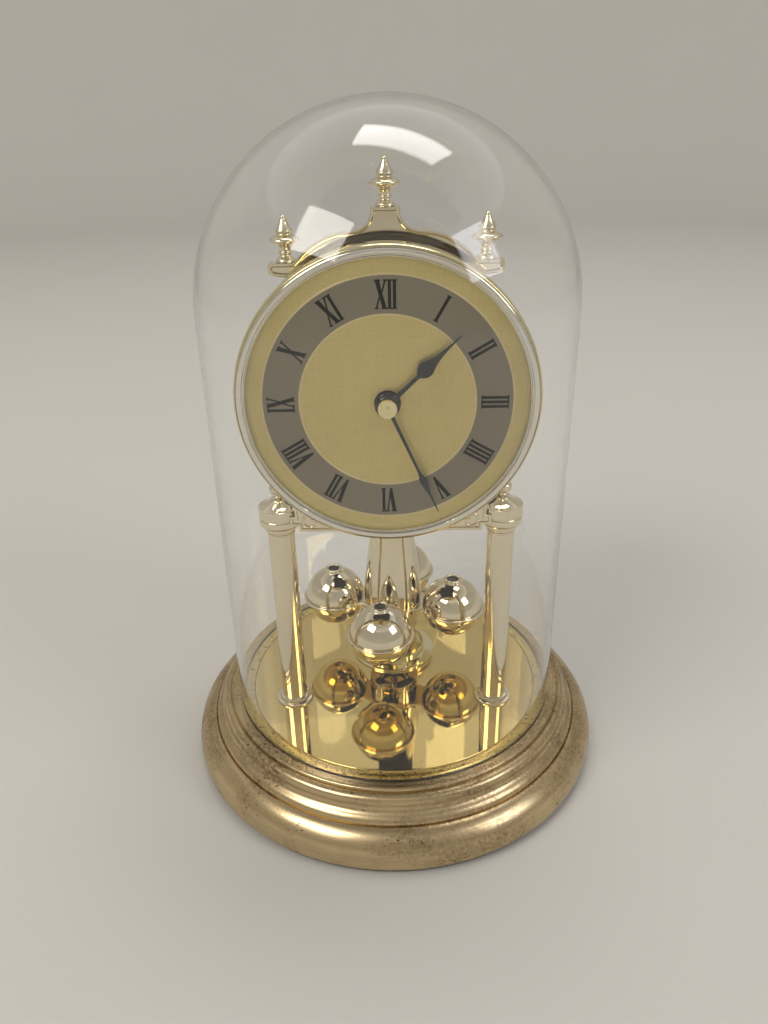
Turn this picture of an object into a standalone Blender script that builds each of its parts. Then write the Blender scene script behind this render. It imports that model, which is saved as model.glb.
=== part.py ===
"""Quartz anniversary clock: a slow four-ball pendulum under a glass dome.

Frame: the origin is the centre of the base on the surface that the clock stands on, +Z is up,
the dial faces -Y and +X is to the right of someone who reads the time. Metres.
"""

import math

import bmesh
import bpy
from mathutils import Matrix, Vector

# Fits: the gap that touching pieces keep, a running gap, how far joined shapes run into each
# other, and how far a cutter passes its cut
GAP = 0.0003
RUN_GAP = 0.0003
LAP = 0.0003
OVERRUN = 0.002

# Facets round a turn
WIDE_STEPS = 32
BALL_STEPS = 14
BELL_STEPS = 16
SLIM_STEPS = 12
FINIAL_STEPS = 10
ROD_STEPS = 8
WIRE_STEPS = 6
HEX_STEPS = 6
DOME_ARC_STEPS = 6
BULGE_ARC_STEPS = 4
PLATE_ARC_STEPS = 10
BALL_ARC_STEPS = 5
ARM_ARC_STEPS = 10
SCROLL_STEPS = 10
SCROLL_SIDES = 4
CUP_STEPS = 16
CORNER_STEPS = 3

# Felt and base board
FELT_THICKNESS = 0.0007
FELT_INSET = 0.0060
FELT_WIDTH = 0.0180
BOARD_THICKNESS = 0.0032
BOARD_LIP_THICKNESS = 0.0007
BOARD_WEB = 0.0014

# Spun base shell
BULGE_WIDTH = 0.0068
BULGE_HEIGHT = 0.0073
BULGE_RISE = 0.0069
BULGE_REACH = 0.0066
FOOT_TUCK = 0.0010
STEP_WIDTH = 0.0068
STEP_RISE = 0.0092
LAND_WIDTH = 0.0032
SHELL_WALL = 0.0012
LEDGE_WIDTH = 0.0026
LEDGE_THICKNESS = 0.0009

# Polished disc and guide cup
DISC_INSET = 0.0051
DISC_THICKNESS = 0.0008
DISC_DROP = 0.0002
CUP_FLANGE_RADIUS = 0.0158
CUP_FLANGE_THICKNESS = 0.0005
CUP_RADIUS = 0.0120
CUP_WALL = 0.0008
CUP_HEIGHT = 0.0034

# Glass dome: its wall, and how far its inside clears the bezel and the centre finial's tip
DOME_WALL = 0.0012
DOME_CLEARANCE = 0.00054
DOME_HEADROOM = 0.01435
DOME_RIM_ROUND = 0.0006

# Columns: their place, shaft, collar, capital, knob and tie bolt
column_share = 0.927
COLUMN_SETBACK = 0.0058
SHAFT_RADIUS = 0.0044
SHAFT_WALL = 0.0010
SHAFT_LENGTH = 0.0668
NECK_RING_RADIUS = 0.00475
NECK_RING_HEIGHT = 0.0009
NECK_RING_DROP = 0.0022
COLLAR_RADIUS = 0.0069
COLLAR_HEIGHT = 0.0019
COLLAR_ROUND = 0.0008
COLLAR_CHAMFER = 0.0003
CAPITAL_RADIUS = 0.0062
CAPITAL_HEIGHT = 0.0033
CAPITAL_BEAD = 0.0003
CAPITAL_BEAD_HEIGHT = 0.0009
KNOB_RADIUS = 0.0045
KNOB_HEIGHT = 0.0092
KNOB_BORE_DEPTH = 0.0012
BOLT_RADIUS = 0.0016
BOLT_HEAD_RADIUS = 0.0032
BOLT_HEAD_HEIGHT = 0.0014
BOLT_WELL_RADIUS = 0.0050
POST_RADIUS = 0.0040

# Front plate
PLATE_FRONT_Y = -0.0210
PLATE_THICKNESS = 0.0054
LUG_RADIUS = 0.0065
LUG_HEIGHT = 0.0035
BRIDGE_DROP = 0.0018
BRIDGE_SPACE = 0.00035
WAIST_SPACE = 0.00145
PLATE_INSET = 0.0012
PEDESTAL_HALF = 0.0040
PEDESTAL_RISE = 0.0062
PEDESTAL_SIDE = 0.0030
CROWN_RISE = 0.0078
SHOULDER_WIDTH = 0.0069
crown_half_share = 0.3205
shoulder_rise_share = 0.9154
shoulder_inner_share = 0.6564
SHOULDER_DROP = 0.0028
SHOULDER_TUCK = 0.0010
crown_foot_share = 0.68
RIM_WIDTH = 0.0008
RIM_DEPTH = 0.0006
SCROLL_RADIUS = 0.0021
SCROLL_WIRE = 0.00042
SCROLL_INSET = 0.0034
SCROLL_START = math.radians(60)
SCROLL_SWEEP = math.radians(330)
scroll_taper_share = 0.45
wire_taper_share = 0.30

# Finials
FINIAL_HEIGHT = 0.0121
FINIAL_RADIUS = 0.0044
FINIAL_INSET = 0.0022

# Dial, bezel and the drum behind them
DIAL_LIFT = 0.0033
MOVEMENT_DEPTH = 0.0143
DIAL_THICKNESS = 0.0008
BEZEL_WIDTH = 0.0024
BEZEL_COVER = 0.0009
BEZEL_LAND = 0.0013
BEZEL_RISE = 0.00175
BEZEL_LIP = 0.0006
BEZEL_SKIRT = 0.0035
DRUM_WALL = 0.0014
DRUM_SPACE = 0.005344
DIAL_NUT_RADIUS = 0.0043
DIAL_NUT_HEIGHT = 0.0012
BUSH_RADIUS = 0.0034

# Hands
HAND_THICKNESS = 0.0005
HAND_SPACE = 0.0008
hour_hand_share = 0.6890
HOUR_HAND_WIDTH = 0.0044
HOUR_HUB_RADIUS = 0.0040
minute_hand_share = 0.8756
MINUTE_HAND_WIDTH = 0.0026
MINUTE_HUB_RADIUS = 0.0034
HAND_CAP_RADIUS = 0.0031
HAND_CAP_HEIGHT = 0.0017
HOUR_HAND_ANGLE = math.radians(46.2)
MINUTE_HAND_ANGLE = math.radians(156.0)

# Movement case
WHEEL_ROOM = 0.0011
CASE_CORNER = 0.0080
CASE_WALL = 0.0012
REAR_PLATE_THICKNESS = 0.0012
REAR_BUSH_RADIUS = 0.0030
REAR_BUSH_HEIGHT = 0.0020

# Wheels: modules, tooth counts, thickness, and the gap between neighbouring wheels
CANNON_MODULE = 0.00075
DRIVE_MODULE = 0.000525
PINION_TEETH = 8
MINUTE_WHEEL_TEETH = 24
HOUR_WHEEL_TEETH = 32
CENTRE_WHEEL_TEETH = 32
SETTING_TEETH = 12
WHEEL_THICKNESS = 0.0008
PINION_THICKNESS = 0.0014
WHEEL_SPACE = 0.0004
ARBOR_RADIUS = 0.0013
PIPE_WALL = 0.0007
STUD_RADIUS = 0.0008
SETTING_SHAFT_RADIUS = 0.00125
DRIVE_SHAFT_RADIUS = 0.0008
MINUTE_WHEEL_DIRECTION = math.radians(180.0)
DRIVE_DIRECTION = math.radians(-40.0)
SETTING_DIRECTION = math.radians(120.0)
PRESSURE_ANGLE = math.radians(20.0)
pinion_addendum_share = 0.90
wheel_addendum_share = 0.60
dedendum_share = 1.10
waist_share = 0.30
backlash_share = 0.07

# Motor, coil, circuit board and quartz can
motor_width_share = 0.7308
MOTOR_HEIGHT = 0.0130
MOTOR_SPACE = 0.0013
MOTOR_DROP = 0.0100
COIL_RADIUS = 0.0026
COIL_LENGTH = 0.0150
COIL_SPACE = 0.0034
circuit_width_share = 0.6923
CIRCUIT_HEIGHT = 0.0110
CIRCUIT_SIDE_SPACE = 0.0038
CIRCUIT_FOOT_SPACE = 0.0033
PCB_THICKNESS = 0.0008
QUARTZ_RADIUS = 0.0011
QUARTZ_LENGTH = 0.0062

# Setting knob
SET_KNOB_RADIUS = 0.0050
SET_KNOB_HEIGHT = 0.0045
SET_KNOB_RIBS = 18
SET_KNOB_RIB_DEPTH = 0.0003

# Pendulum: axis, bell, hub, arms, balls
PENDULUM_Y = 0.0140
BALL_LIFT = 0.0228
BALL_SPACE = 0.0009
BALL_COUNT = 4
PENDULUM_REST = math.radians(-11.0)
ARM_THICKNESS = 0.0012
ARM_RING_WIDTH = 0.00095
ARM_HUB_RADIUS = 0.0105
ARM_NECK = 0.0058
BALL_RADIUS = 0.0114
BALL_BOSS_RADIUS = 0.0034
BALL_BOSS_RISE = 0.0007
BALL_WELL_RADIUS = 0.0021
BALL_WELL_DEPTH = 0.0014
BALL_POLE_RADIUS = 0.0020
BALL_POLE_DEPTH = 0.0012
SCREW_RADIUS = 0.00085
SCREW_HEAD_RADIUS = 0.0018
SCREW_HEAD_HEIGHT = 0.0010
screw_dome_share = 0.60
BALL_SCREW_INSET = 0.0034
BELL_MOUTH_RADIUS = 0.0109
BELL_NECK_RADIUS = 0.0076
BELL_DROP = 0.0130
BELL_WALL = 0.0012
BELL_BOSS_RADIUS = 0.0024
BELL_BOSS_HEIGHT = 0.0024
HUB_RADIUS = 0.0097
HUB_HEIGHT = 0.0091
HUB_WELL_RADIUS = 0.0056
HUB_WELL_DEPTH = 0.0030
HUB_STEM_RADIUS = 0.0030
SPINDLE_RADIUS = 0.0012
SPINDLE_FLOOR_GAP = 0.0008

# Pendulum drive behind the dial
WIRE_RADIUS = 0.00035
WIRE_HOLE_RADIUS = 0.00065
WIRE_STOP_RADIUS = 0.0012
WIRE_STOP_HEIGHT = 0.0012
WIRE_SEAT_DEPTH = 0.0018
COLUMN_SPACE = 0.01215
DRIVE_COIL_SPACE = 0.0007
DRIVE_RISE = 0.0026
DRIVE_HEIGHT = 0.0180
DRIVE_WALL = 0.0015
DRIVE_COIL_RADIUS = 0.0088
DRIVE_COIL_BORE = 0.0046
DRIVE_COIL_HEIGHT = 0.0060
CLAMP_HALF = 0.0120
CLAMP_DEPTH = 0.0060
CLAMP_HEIGHT = 0.0098
CLAMP_THICKNESS = 0.0012
MAGNET_RADIUS = 0.0058
MAGNET_HEIGHT = 0.0016
HOUSING_SCREW_INSET = 0.0060
HOUSING_SCREW_DROP = 0.0060
HOUSING_SCREW_REACH = 0.0034

# Battery and its cradle
BATTERY_RADIUS = 0.0071
BATTERY_LENGTH = 0.0505
BATTERY_NUB_RADIUS = 0.0027
BATTERY_NUB_LENGTH = 0.0010
BATTERY_Y = 0.0110
CRADLE_WALL = 0.0016
CRADLE_RISE = 0.0096
CRADLE_DEPTH = 0.0180
CONTACT_THICKNESS = 0.0005
CONTACT_WIDTH = 0.0070

# Wheel distances; the case, the dial and the plate take their size from them
cannon_distance = CANNON_MODULE * (PINION_TEETH + MINUTE_WHEEL_TEETH) / 2
hour_module = 2 * cannon_distance / (PINION_TEETH + HOUR_WHEEL_TEETH)
drive_distance = DRIVE_MODULE * (PINION_TEETH + CENTRE_WHEEL_TEETH) / 2
setting_distance = CANNON_MODULE * (SETTING_TEETH + MINUTE_WHEEL_TEETH) / 2
setting_tip = CANNON_MODULE * (SETTING_TEETH / 2 + wheel_addendum_share)
setting_reach = cannon_distance - setting_distance * math.cos(SETTING_DIRECTION)
case_half = setting_reach + setting_tip + CASE_WALL + WHEEL_ROOM
case_reach = (case_half - CASE_CORNER) * math.sqrt(2) + CASE_CORNER
motor_width = case_half * motor_width_share
motor_x = case_half - CASE_WALL - MOTOR_SPACE - motor_width / 2
coil_z = CASE_WALL + COIL_SPACE + COIL_RADIUS - case_half
circuit_width = case_half * circuit_width_share
circuit_x = CASE_WALL + CIRCUIT_SIDE_SPACE + circuit_width / 2 - case_half
circuit_z = CASE_WALL + CIRCUIT_FOOT_SPACE + CIRCUIT_HEIGHT / 2 - case_half
dial_radius = case_reach + DRUM_WALL + DRUM_SPACE
bezel_radius = dial_radius + BEZEL_WIDTH
bezel_opening = dial_radius - BEZEL_COVER
hour_hand_length = dial_radius * hour_hand_share
minute_hand_length = dial_radius * minute_hand_share
plate_disc_radius = dial_radius - PLATE_INSET
column_x = plate_disc_radius * column_share

# Depths, from the front plate forwards to the hands and back to the drive housing
column_y = PLATE_FRONT_Y + COLUMN_SETBACK
plate_back_y = PLATE_FRONT_Y + PLATE_THICKNESS
finial_y = PLATE_FRONT_Y + PLATE_THICKNESS / 2
dial_front_y = PLATE_FRONT_Y - MOVEMENT_DEPTH
dial_back_y = dial_front_y + DIAL_THICKNESS
bezel_front_y = dial_front_y - BEZEL_RISE
drum_front_y = dial_back_y + GAP
drum_back_y = PLATE_FRONT_Y - GAP
case_front_y = dial_back_y + GAP
rear_plate_back_y = PLATE_FRONT_Y - GAP
rear_plate_front_y = rear_plate_back_y - REAR_PLATE_THICKNESS
case_back_y = rear_plate_front_y - GAP
case_inside_y = case_front_y + CASE_WALL
pipe_bore = ARBOR_RADIUS + RUN_GAP
pipe_radius = pipe_bore + PIPE_WALL
dial_nut_front_y = dial_front_y - GAP - DIAL_NUT_HEIGHT
hour_hand_back_y = dial_nut_front_y - GAP
hour_hand_front_y = hour_hand_back_y - HAND_THICKNESS
minute_hand_back_y = hour_hand_front_y - HAND_SPACE
minute_hand_front_y = minute_hand_back_y - HAND_THICKNESS
cap_back_y = minute_hand_front_y - GAP
hour_wheel_y = case_inside_y + WHEEL_SPACE
minute_pinion_y = case_inside_y + WHEEL_SPACE
minute_wheel_y = minute_pinion_y + PINION_THICKNESS
centre_wheel_y = minute_wheel_y + WHEEL_THICKNESS + 2 * WHEEL_SPACE
drive_pinion_y = centre_wheel_y - (PINION_THICKNESS - WHEEL_THICKNESS) / 2
motor_front_y = drive_pinion_y + PINION_THICKNESS + WHEEL_SPACE
housing_front_y = plate_back_y + GAP
drive_back_y = PENDULUM_Y + DRIVE_COIL_RADIUS + DRIVE_COIL_SPACE + DRIVE_WALL

# The dome's radius clears the bezel, and the base's steps follow the dome
dome_inside = math.hypot(bezel_radius, bezel_front_y) + DOME_CLEARANCE
dome_radius = dome_inside + DOME_WALL
disc_radius = dome_radius - DISC_INSET
land_radius = dome_radius + LAND_WIDTH
groove_radius = land_radius + STEP_WIDTH
bulge_radius = groove_radius + BULGE_WIDTH
felt_radius = bulge_radius - FELT_INSET

# Heights of the base and the columns
board_bottom = FELT_THICKNESS + GAP
board_top = board_bottom + BOARD_THICKNESS
lip_top = board_bottom + BOARD_LIP_THICKNESS
shell_foot = lip_top + GAP
groove_height = BULGE_HEIGHT + BULGE_RISE
land_height = groove_height + STEP_RISE
disc_top = land_height - DISC_DROP
disc_bottom = disc_top - DISC_THICKNESS
ledge_top = disc_bottom - GAP
ledge_bottom = ledge_top - LEDGE_THICKNESS
collar_bottom = disc_top + GAP
collar_top = collar_bottom + COLLAR_HEIGHT
shaft_bottom = collar_top + GAP
shaft_top = shaft_bottom + SHAFT_LENGTH
capital_bottom = shaft_top + GAP
capital_top = capital_bottom + CAPITAL_HEIGHT
lug_bottom = capital_top + GAP
lug_top = lug_bottom + LUG_HEIGHT
knob_bottom = lug_top + GAP
bolt_bore = BOLT_RADIUS + RUN_GAP

# The front plate's outline, up to the centre finial's tip and the dome over it
bridge_bottom = lug_bottom - BRIDGE_DROP
bridge_half = column_x - LUG_RADIUS - BRIDGE_SPACE
waist_half = column_x - KNOB_RADIUS - WAIST_SPACE
dial_centre_height = lug_top + plate_disc_radius + DIAL_LIFT
shoulder_height = dial_centre_height + plate_disc_radius * shoulder_rise_share
shoulder_inner = plate_disc_radius * shoulder_inner_share
shoulder_outer = shoulder_inner + SHOULDER_WIDTH
finial_x = shoulder_inner + FINIAL_INSET
crown_half = plate_disc_radius * crown_half_share
crown_height = shoulder_height + CROWN_RISE
pedestal_top = crown_height + PEDESTAL_RISE
finial_tip = pedestal_top + GAP + FINIAL_HEIGHT
dome_centre_height = finial_tip + DOME_HEADROOM - dome_inside

# The drive housing, the battery in its cradle and the pendulum below
drive_half = column_x - COLUMN_SPACE
housing_screw_x = drive_half - HOUSING_SCREW_INSET
drive_bottom = lug_bottom + DRIVE_RISE
drive_top = drive_bottom + DRIVE_HEIGHT
drive_floor = drive_bottom + DRIVE_WALL
clamp_top = drive_floor + GAP + CLAMP_HEIGHT
cradle_bottom = drive_top + GAP
battery_height = cradle_bottom + CRADLE_WALL + BATTERY_RADIUS + GAP
ball_height = disc_top + BALL_LIFT
ball_circle = BELL_MOUTH_RADIUS + BALL_RADIUS + BALL_SPACE
ball_boss_top = BALL_RADIUS + BALL_BOSS_RISE
ball_screw_reach = BALL_RADIUS - BALL_SCREW_INSET
arm_ring_radius = BALL_RADIUS + ARM_RING_WIDTH
arms_bottom = ball_height - ARM_THICKNESS / 2
arms_top = ball_height + ARM_THICKNESS / 2
hub_top = arms_bottom - GAP
hub_bottom = hub_top - HUB_HEIGHT
bell_bottom = arms_top + GAP
bell_top = drive_bottom - BELL_DROP
bell_height = bell_top - bell_bottom
bell_boss_top = bell_top + BELL_BOSS_HEIGHT
cup_bottom = disc_top + GAP
cup_floor = cup_bottom + CUP_FLANGE_THICKNESS
spindle_bottom = cup_floor + SPINDLE_FLOOR_GAP


def linear(hex_colour):
    """Return the linear colour of an sRGB hex string."""
    channels = [int(hex_colour[i:i + 2], 16) / 255 for i in (1, 3, 5)]
    return [c / 12.92 if c <= 0.04045 else ((c + 0.055) / 1.055) ** 2.4 for c in channels] + [1.0]


def material(name, hex_colour, roughness, metallic=0.0, glass=0.0):
    """Make a Principled material in the piece's own colour."""
    made = bpy.data.materials.new(name)
    made.use_nodes = True
    shader = made.node_tree.nodes["Principled BSDF"]
    shader.inputs["Base Color"].default_value = linear(hex_colour)
    shader.inputs["Roughness"].default_value = roughness
    shader.inputs["Metallic"].default_value = metallic
    shader.inputs["Transmission Weight"].default_value = glass
    return made


FINISHES = {
    "felt": ("#2f5a3c", 0.95, 0.0, 0.0),
    "fibreboard": ("#6b5640", 0.85, 0.0, 0.0),
    "aged_brass": ("#b08f57", 0.34, 1.0, 0.0),
    "polished_brass": ("#d8b45c", 0.06, 1.0, 0.0),
    "plated": ("#e6dcc0", 0.10, 1.0, 0.0),
    "gold_plated": ("#d9b765", 0.15, 1.0, 0.0),
    "glass": ("#f4f8f6", 0.02, 0.0, 1.0),
    "dial": ("#c9b06f", 0.35, 1.0, 0.0),
    "black": ("#15161c", 0.35, 0.0, 0.0),
    "steel": ("#b9bcc0", 0.25, 1.0, 0.0),
    "black_plastic": ("#1c1c1e", 0.45, 0.0, 0.0),
    "white_plastic": ("#e9e6dd", 0.40, 0.0, 0.0),
    "copper": ("#b4683a", 0.30, 1.0, 0.0),
    "circuit": ("#2c5b34", 0.50, 0.0, 0.0),
    "battery": ("#8f9296", 0.30, 0.0, 0.0),
}


def clear_scene():
    """Remove what the file holds before the model is made."""
    for thing in list(bpy.data.objects):
        bpy.data.objects.remove(thing, do_unlink=True)


def add_object(name, shape, finish_name, place=(0, 0, 0), smooth=True, parent=None):
    """Put a bmesh into the scene as a named piece with its own material."""
    bmesh.ops.recalc_face_normals(shape, faces=shape.faces[:])
    mesh = bpy.data.meshes.new(name)
    shape.to_mesh(mesh)
    shape.free()
    piece = bpy.data.objects.new(name, mesh)
    bpy.context.scene.collection.objects.link(piece)
    piece.location = place
    piece.parent = parent
    if finish_name:
        mesh.materials.append(material(name + "_finish", *FINISHES[finish_name]))
    if smooth:
        mesh.shade_smooth()
        mesh.set_sharp_from_angle(angle=math.radians(32))
    return piece


def add_pivot(name, place):
    """Add an empty on a moving group's axis."""
    pivot = bpy.data.objects.new(name, None)
    pivot.location = place
    bpy.context.scene.collection.objects.link(pivot)
    return pivot


def along_z(radius, height, angle):
    """Place a turned point whose axis is +Z."""
    return Vector((radius * math.cos(angle), radius * math.sin(angle), height))


def along_y(radius, height, angle):
    """Place a turned point whose axis is +Y."""
    return Vector((radius * math.cos(angle), height, radius * math.sin(angle)))


def along_x(radius, height, angle):
    """Place a turned point whose axis is +X."""
    return Vector((height, radius * math.cos(angle), radius * math.sin(angle)))


def turned(shape, profile, steps=WIDE_STEPS, place=along_z, centre=(0, 0, 0)):
    """Turn a closed profile of (radius, height) points; a radius of zero lies on the axis."""
    middle = Vector(centre)
    rings = []
    for radius, height in profile:
        if radius == 0:
            rings.append([shape.verts.new(middle + place(0, height, 0))])
            continue
        angles = [math.tau * step / steps for step in range(steps)]
        rings.append([shape.verts.new(middle + place(radius, height, angle)) for angle in angles])
    for index, ring in enumerate(rings):
        following = rings[(index + 1) % len(rings)]
        if len(ring) == 1 and len(following) == 1:
            continue
        for step in range(steps):
            after = (step + 1) % steps
            corners = [ring[step % len(ring)], ring[after % len(ring)]]
            corners += [following[after % len(following)], following[step % len(following)]]
            shape.faces.new(list(dict.fromkeys(corners)))
    return shape


def rod(shape, radius, low, high, steps=ROD_STEPS, place=along_z, centre=(0, 0, 0)):
    """Add a plain cylinder between two heights."""
    return turned(shape, [(0, low), (radius, low), (radius, high), (0, high)], steps, place, centre)


def tube(shape, bore, radius, low, high, steps=SLIM_STEPS, place=along_z, centre=(0, 0, 0)):
    """Add a cylinder with a bore through it."""
    profile = [(bore, low), (radius, low), (radius, high), (bore, high)]
    return turned(shape, profile, steps, place, centre)


def block(shape, low, high):
    """Add a box between two corners."""
    size = [h - l for l, h in zip(low, high)]
    middle = [(h + l) / 2 for l, h in zip(low, high)]
    placed = Matrix.Translation(middle) @ Matrix.Diagonal((*size, 1))
    bmesh.ops.create_cube(shape, size=1, matrix=placed)
    return shape


def slab(shape, outline, front, back):
    """Extrude an outline of (x, z) points from one y to another."""
    near = [shape.verts.new((x, front, z)) for x, z in outline]
    far = [shape.verts.new((x, back, z)) for x, z in outline]
    face = shape.faces.new(near)
    shape.faces.new(list(reversed(far)))
    for index in range(len(outline)):
        after = (index + 1) % len(outline)
        shape.faces.new([near[index], far[index], far[after], near[after]])
    return face


def combine(piece, tool_shape, operation="DIFFERENCE"):
    """Cut a shape out of a piece, or join it on, with a Boolean."""
    tool = add_object(piece.name + "_tool", tool_shape, None, piece.location, False, piece.parent)
    tool.hide_render = True
    tool.display_type = "WIRE"
    boolean = piece.modifiers.new(operation.lower(), "BOOLEAN")
    boolean.operation = operation
    boolean.solver = "EXACT"
    boolean.object = tool


def arc(centre, radius, start, end, steps):
    """Return the points of an arc about a centre, ends included."""
    points = []
    for step in range(steps + 1):
        angle = start + (end - start) * step / steps
        points.append((centre[0] + radius * math.cos(angle), centre[1] + radius * math.sin(angle)))
    return points


def polar(centre, radius, angle):
    """Return the point at a distance and angle from a centre."""
    return (centre[0] + radius * math.cos(angle), centre[1] + radius * math.sin(angle))


def gear_outline(module, teeth, phase):
    """Return a wheel's outline about its axis: a tooth points along the phase angle."""
    pitch = module * teeth / 2
    base = pitch * math.cos(PRESSURE_ANGLE)
    root = pitch - dedendum_share * module
    is_pinion = teeth <= PINION_TEETH
    tip = pitch + (pinion_addendum_share if is_pinion else wheel_addendum_share) * module

    def half_tooth(radius):
        """Return half the angle that a tooth fills at a radius."""
        angle = math.acos(min(1, base / radius))
        flank = math.tan(PRESSURE_ANGLE) - PRESSURE_ANGLE - math.tan(angle) + angle
        return math.pi / (2 * teeth) + flank - backlash_share * module / pitch

    flank_points = [(root, half_tooth(root)), (tip, half_tooth(tip))]
    if is_pinion:
        waist = pitch - waist_share * module
        flank_points.insert(1, (waist, half_tooth(waist)))
    outline = []
    for tooth in range(teeth):
        middle = phase + math.tau * tooth / teeth
        outline += [polar((0, 0), radius, middle - half) for radius, half in flank_points]
        outline += [polar((0, 0), radius, middle + half) for radius, half in flank_points[::-1]]
    return outline


def meshed_phase(phase, teeth, other_teeth, direction):
    """Return the phase of a wheel that meshes with another along a direction."""
    lead = (phase - direction) * teeth / other_teeth
    return direction + math.pi + math.pi / other_teeth - lead


# Wheel places on the dial's plane, as (x, z)
dial_centre = (0, dial_centre_height)
minute_wheel_centre = polar(dial_centre, cannon_distance, MINUTE_WHEEL_DIRECTION)
drive_centre = polar(dial_centre, drive_distance, DRIVE_DIRECTION)
setting_centre = polar(minute_wheel_centre, setting_distance, SETTING_DIRECTION)


def on_dial(point):
    """Return an axis place on the dial's plane as a point in the room."""
    return (point[0], 0, point[1])


# The base


def make_felt():
    """Felt ring that the clock stands on."""
    shape = bmesh.new()
    tube(shape, felt_radius - FELT_WIDTH, felt_radius, 0, FELT_THICKNESS, WIDE_STEPS)
    add_object("felt_ring", shape, "felt")


def shell_inner_radius():
    """Radius of the base shell's inside at its foot."""
    return bulge_radius - FOOT_TUCK - SHELL_WALL


def make_base_board():
    """Board that closes the base, holds the shell's foot and takes the tie bolts' heads."""
    shape = bmesh.new()
    radius = shell_inner_radius() - GAP
    lip_radius = bulge_radius - FOOT_TUCK - GAP
    profile = [(0, board_bottom), (lip_radius, board_bottom), (lip_radius, lip_top)]
    profile += [(radius, lip_top), (radius, board_top), (0, board_top)]
    turned(shape, profile, WIDE_STEPS)
    board = add_object("base_board", shape, "fibreboard")
    posts = bmesh.new()
    wells = bmesh.new()
    for side in (-1, 1):
        centre = (side * column_x, column_y, 0)
        post_span = (board_top - LAP, disc_bottom - GAP)
        rod(posts, POST_RADIUS, *post_span, SLIM_STEPS, along_z, centre)
        well_top = board_top - BOARD_WEB
        profile = [(0, board_bottom - OVERRUN), (BOLT_WELL_RADIUS, board_bottom - OVERRUN)]
        profile += [(BOLT_WELL_RADIUS, well_top), (bolt_bore, well_top)]
        profile += [(bolt_bore, disc_bottom + OVERRUN), (0, disc_bottom + OVERRUN)]
        turned(wells, profile, ROD_STEPS, along_z, centre)
    combine(board, posts, "UNION")
    combine(board, wells)


step_shares = [(0.09, 0.07), (0.25, 0.19), (0.44, 0.44), (0.50, 0.72), (0.60, 0.87),
               (0.78, 0.935), (0.88, 0.90), (1.0, 1.0)]
inner_step_shares = [(1.0, 0.76), (0.66, 0.52), (0.22, -0.10)]


def shell_profile():
    """Return the base shell's cross-section: up the outside, then down the inside."""
    bulge_centre = (bulge_radius - BULGE_REACH, BULGE_HEIGHT)
    bulge_rise = groove_height - BULGE_HEIGHT
    step_in = groove_radius - land_radius
    step_up = land_height - groove_height
    outer = []
    for share in (1, 0.5):
        height = BULGE_HEIGHT - share * (BULGE_HEIGHT - shell_foot)
        outer.append((bulge_radius - share ** 2 * FOOT_TUCK, height))
    for step in range(BULGE_ARC_STEPS + 1):
        angle = math.pi / 2 * step / BULGE_ARC_STEPS
        radius = bulge_centre[0] + BULGE_REACH * math.cos(angle)
        outer.append((radius, bulge_centre[1] + bulge_rise * math.sin(angle)))
    outer += [(groove_radius - r * step_in, groove_height + z * step_up) for r, z in step_shares]
    seat_radius = disc_radius + GAP
    outer += [(seat_radius, land_height), (seat_radius, ledge_top)]
    outer += [(seat_radius - LEDGE_WIDTH, ledge_top), (seat_radius - LEDGE_WIDTH, ledge_bottom)]
    inner = [(groove_radius - r * step_in, groove_height + z * step_up) for r, z in inner_step_shares]
    inner[0] = (inner[0][0], ledge_bottom)
    for angle in (math.radians(60), math.radians(25)):
        radius = bulge_centre[0] + (BULGE_REACH - SHELL_WALL) * math.cos(angle)
        inner.append((radius, bulge_centre[1] + (bulge_rise - SHELL_WALL) * math.sin(angle)))
    inner.append((shell_inner_radius() + FOOT_TUCK / 2, BULGE_HEIGHT))
    inner.append((shell_inner_radius(), shell_foot))
    return outer + inner


def make_base_shell():
    """Spun brass shell with its stepped outside."""
    shape = bmesh.new()
    turned(shape, shell_profile(), WIDE_STEPS)
    add_object("base_shell", shape, "aged_brass")


def make_disc():
    """Polished disc, with a hole for each tie bolt."""
    shape = bmesh.new()
    rod(shape, disc_radius, disc_bottom, disc_top, WIDE_STEPS)
    disc = add_object("mirror_disc", shape, "polished_brass")
    holes = bmesh.new()
    for side in (-1, 1):
        centre = (side * column_x, column_y, 0)
        rod(holes, bolt_bore, disc_bottom - OVERRUN, disc_top + OVERRUN, ROD_STEPS, along_z, centre)
    combine(disc, holes)


def make_guide_cup():
    """Shallow cup that keeps the pendulum's spindle central."""
    shape = bmesh.new()
    rim = cup_bottom + CUP_HEIGHT
    inside = CUP_RADIUS - CUP_WALL
    profile = [(0, cup_bottom), (CUP_FLANGE_RADIUS, cup_bottom), (CUP_FLANGE_RADIUS, cup_floor)]
    profile += [(CUP_RADIUS, cup_floor), (CUP_RADIUS, rim), (inside, rim), (inside, cup_floor)]
    profile += [(0, cup_floor)]
    turned(shape, profile, CUP_STEPS, along_z, (0, PENDULUM_Y, 0))
    add_object("guide_cup", shape, "gold_plated")


def make_dome():
    """Blown glass dome, open below."""
    shape = bmesh.new()
    foot = land_height + GAP
    inside = dome_inside
    profile = [(inside + DOME_RIM_ROUND / 2, foot), (dome_radius - DOME_RIM_ROUND / 2, foot)]
    profile += [(dome_radius, foot + DOME_RIM_ROUND)]
    centre = (0, dome_centre_height)
    outside_arc = arc(centre, dome_radius, 0, math.pi / 2, DOME_ARC_STEPS)[:-1]
    inside_arc = arc(centre, inside, 0, math.pi / 2, DOME_ARC_STEPS)[:-1]
    profile += outside_arc + [(0, dome_centre_height + dome_radius)]
    profile += [(0, dome_centre_height + inside)] + inside_arc[::-1]
    profile += [(inside, foot + DOME_RIM_ROUND)]
    turned(shape, profile, WIDE_STEPS)
    add_object("glass_dome", shape, "glass")


# The columns


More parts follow.
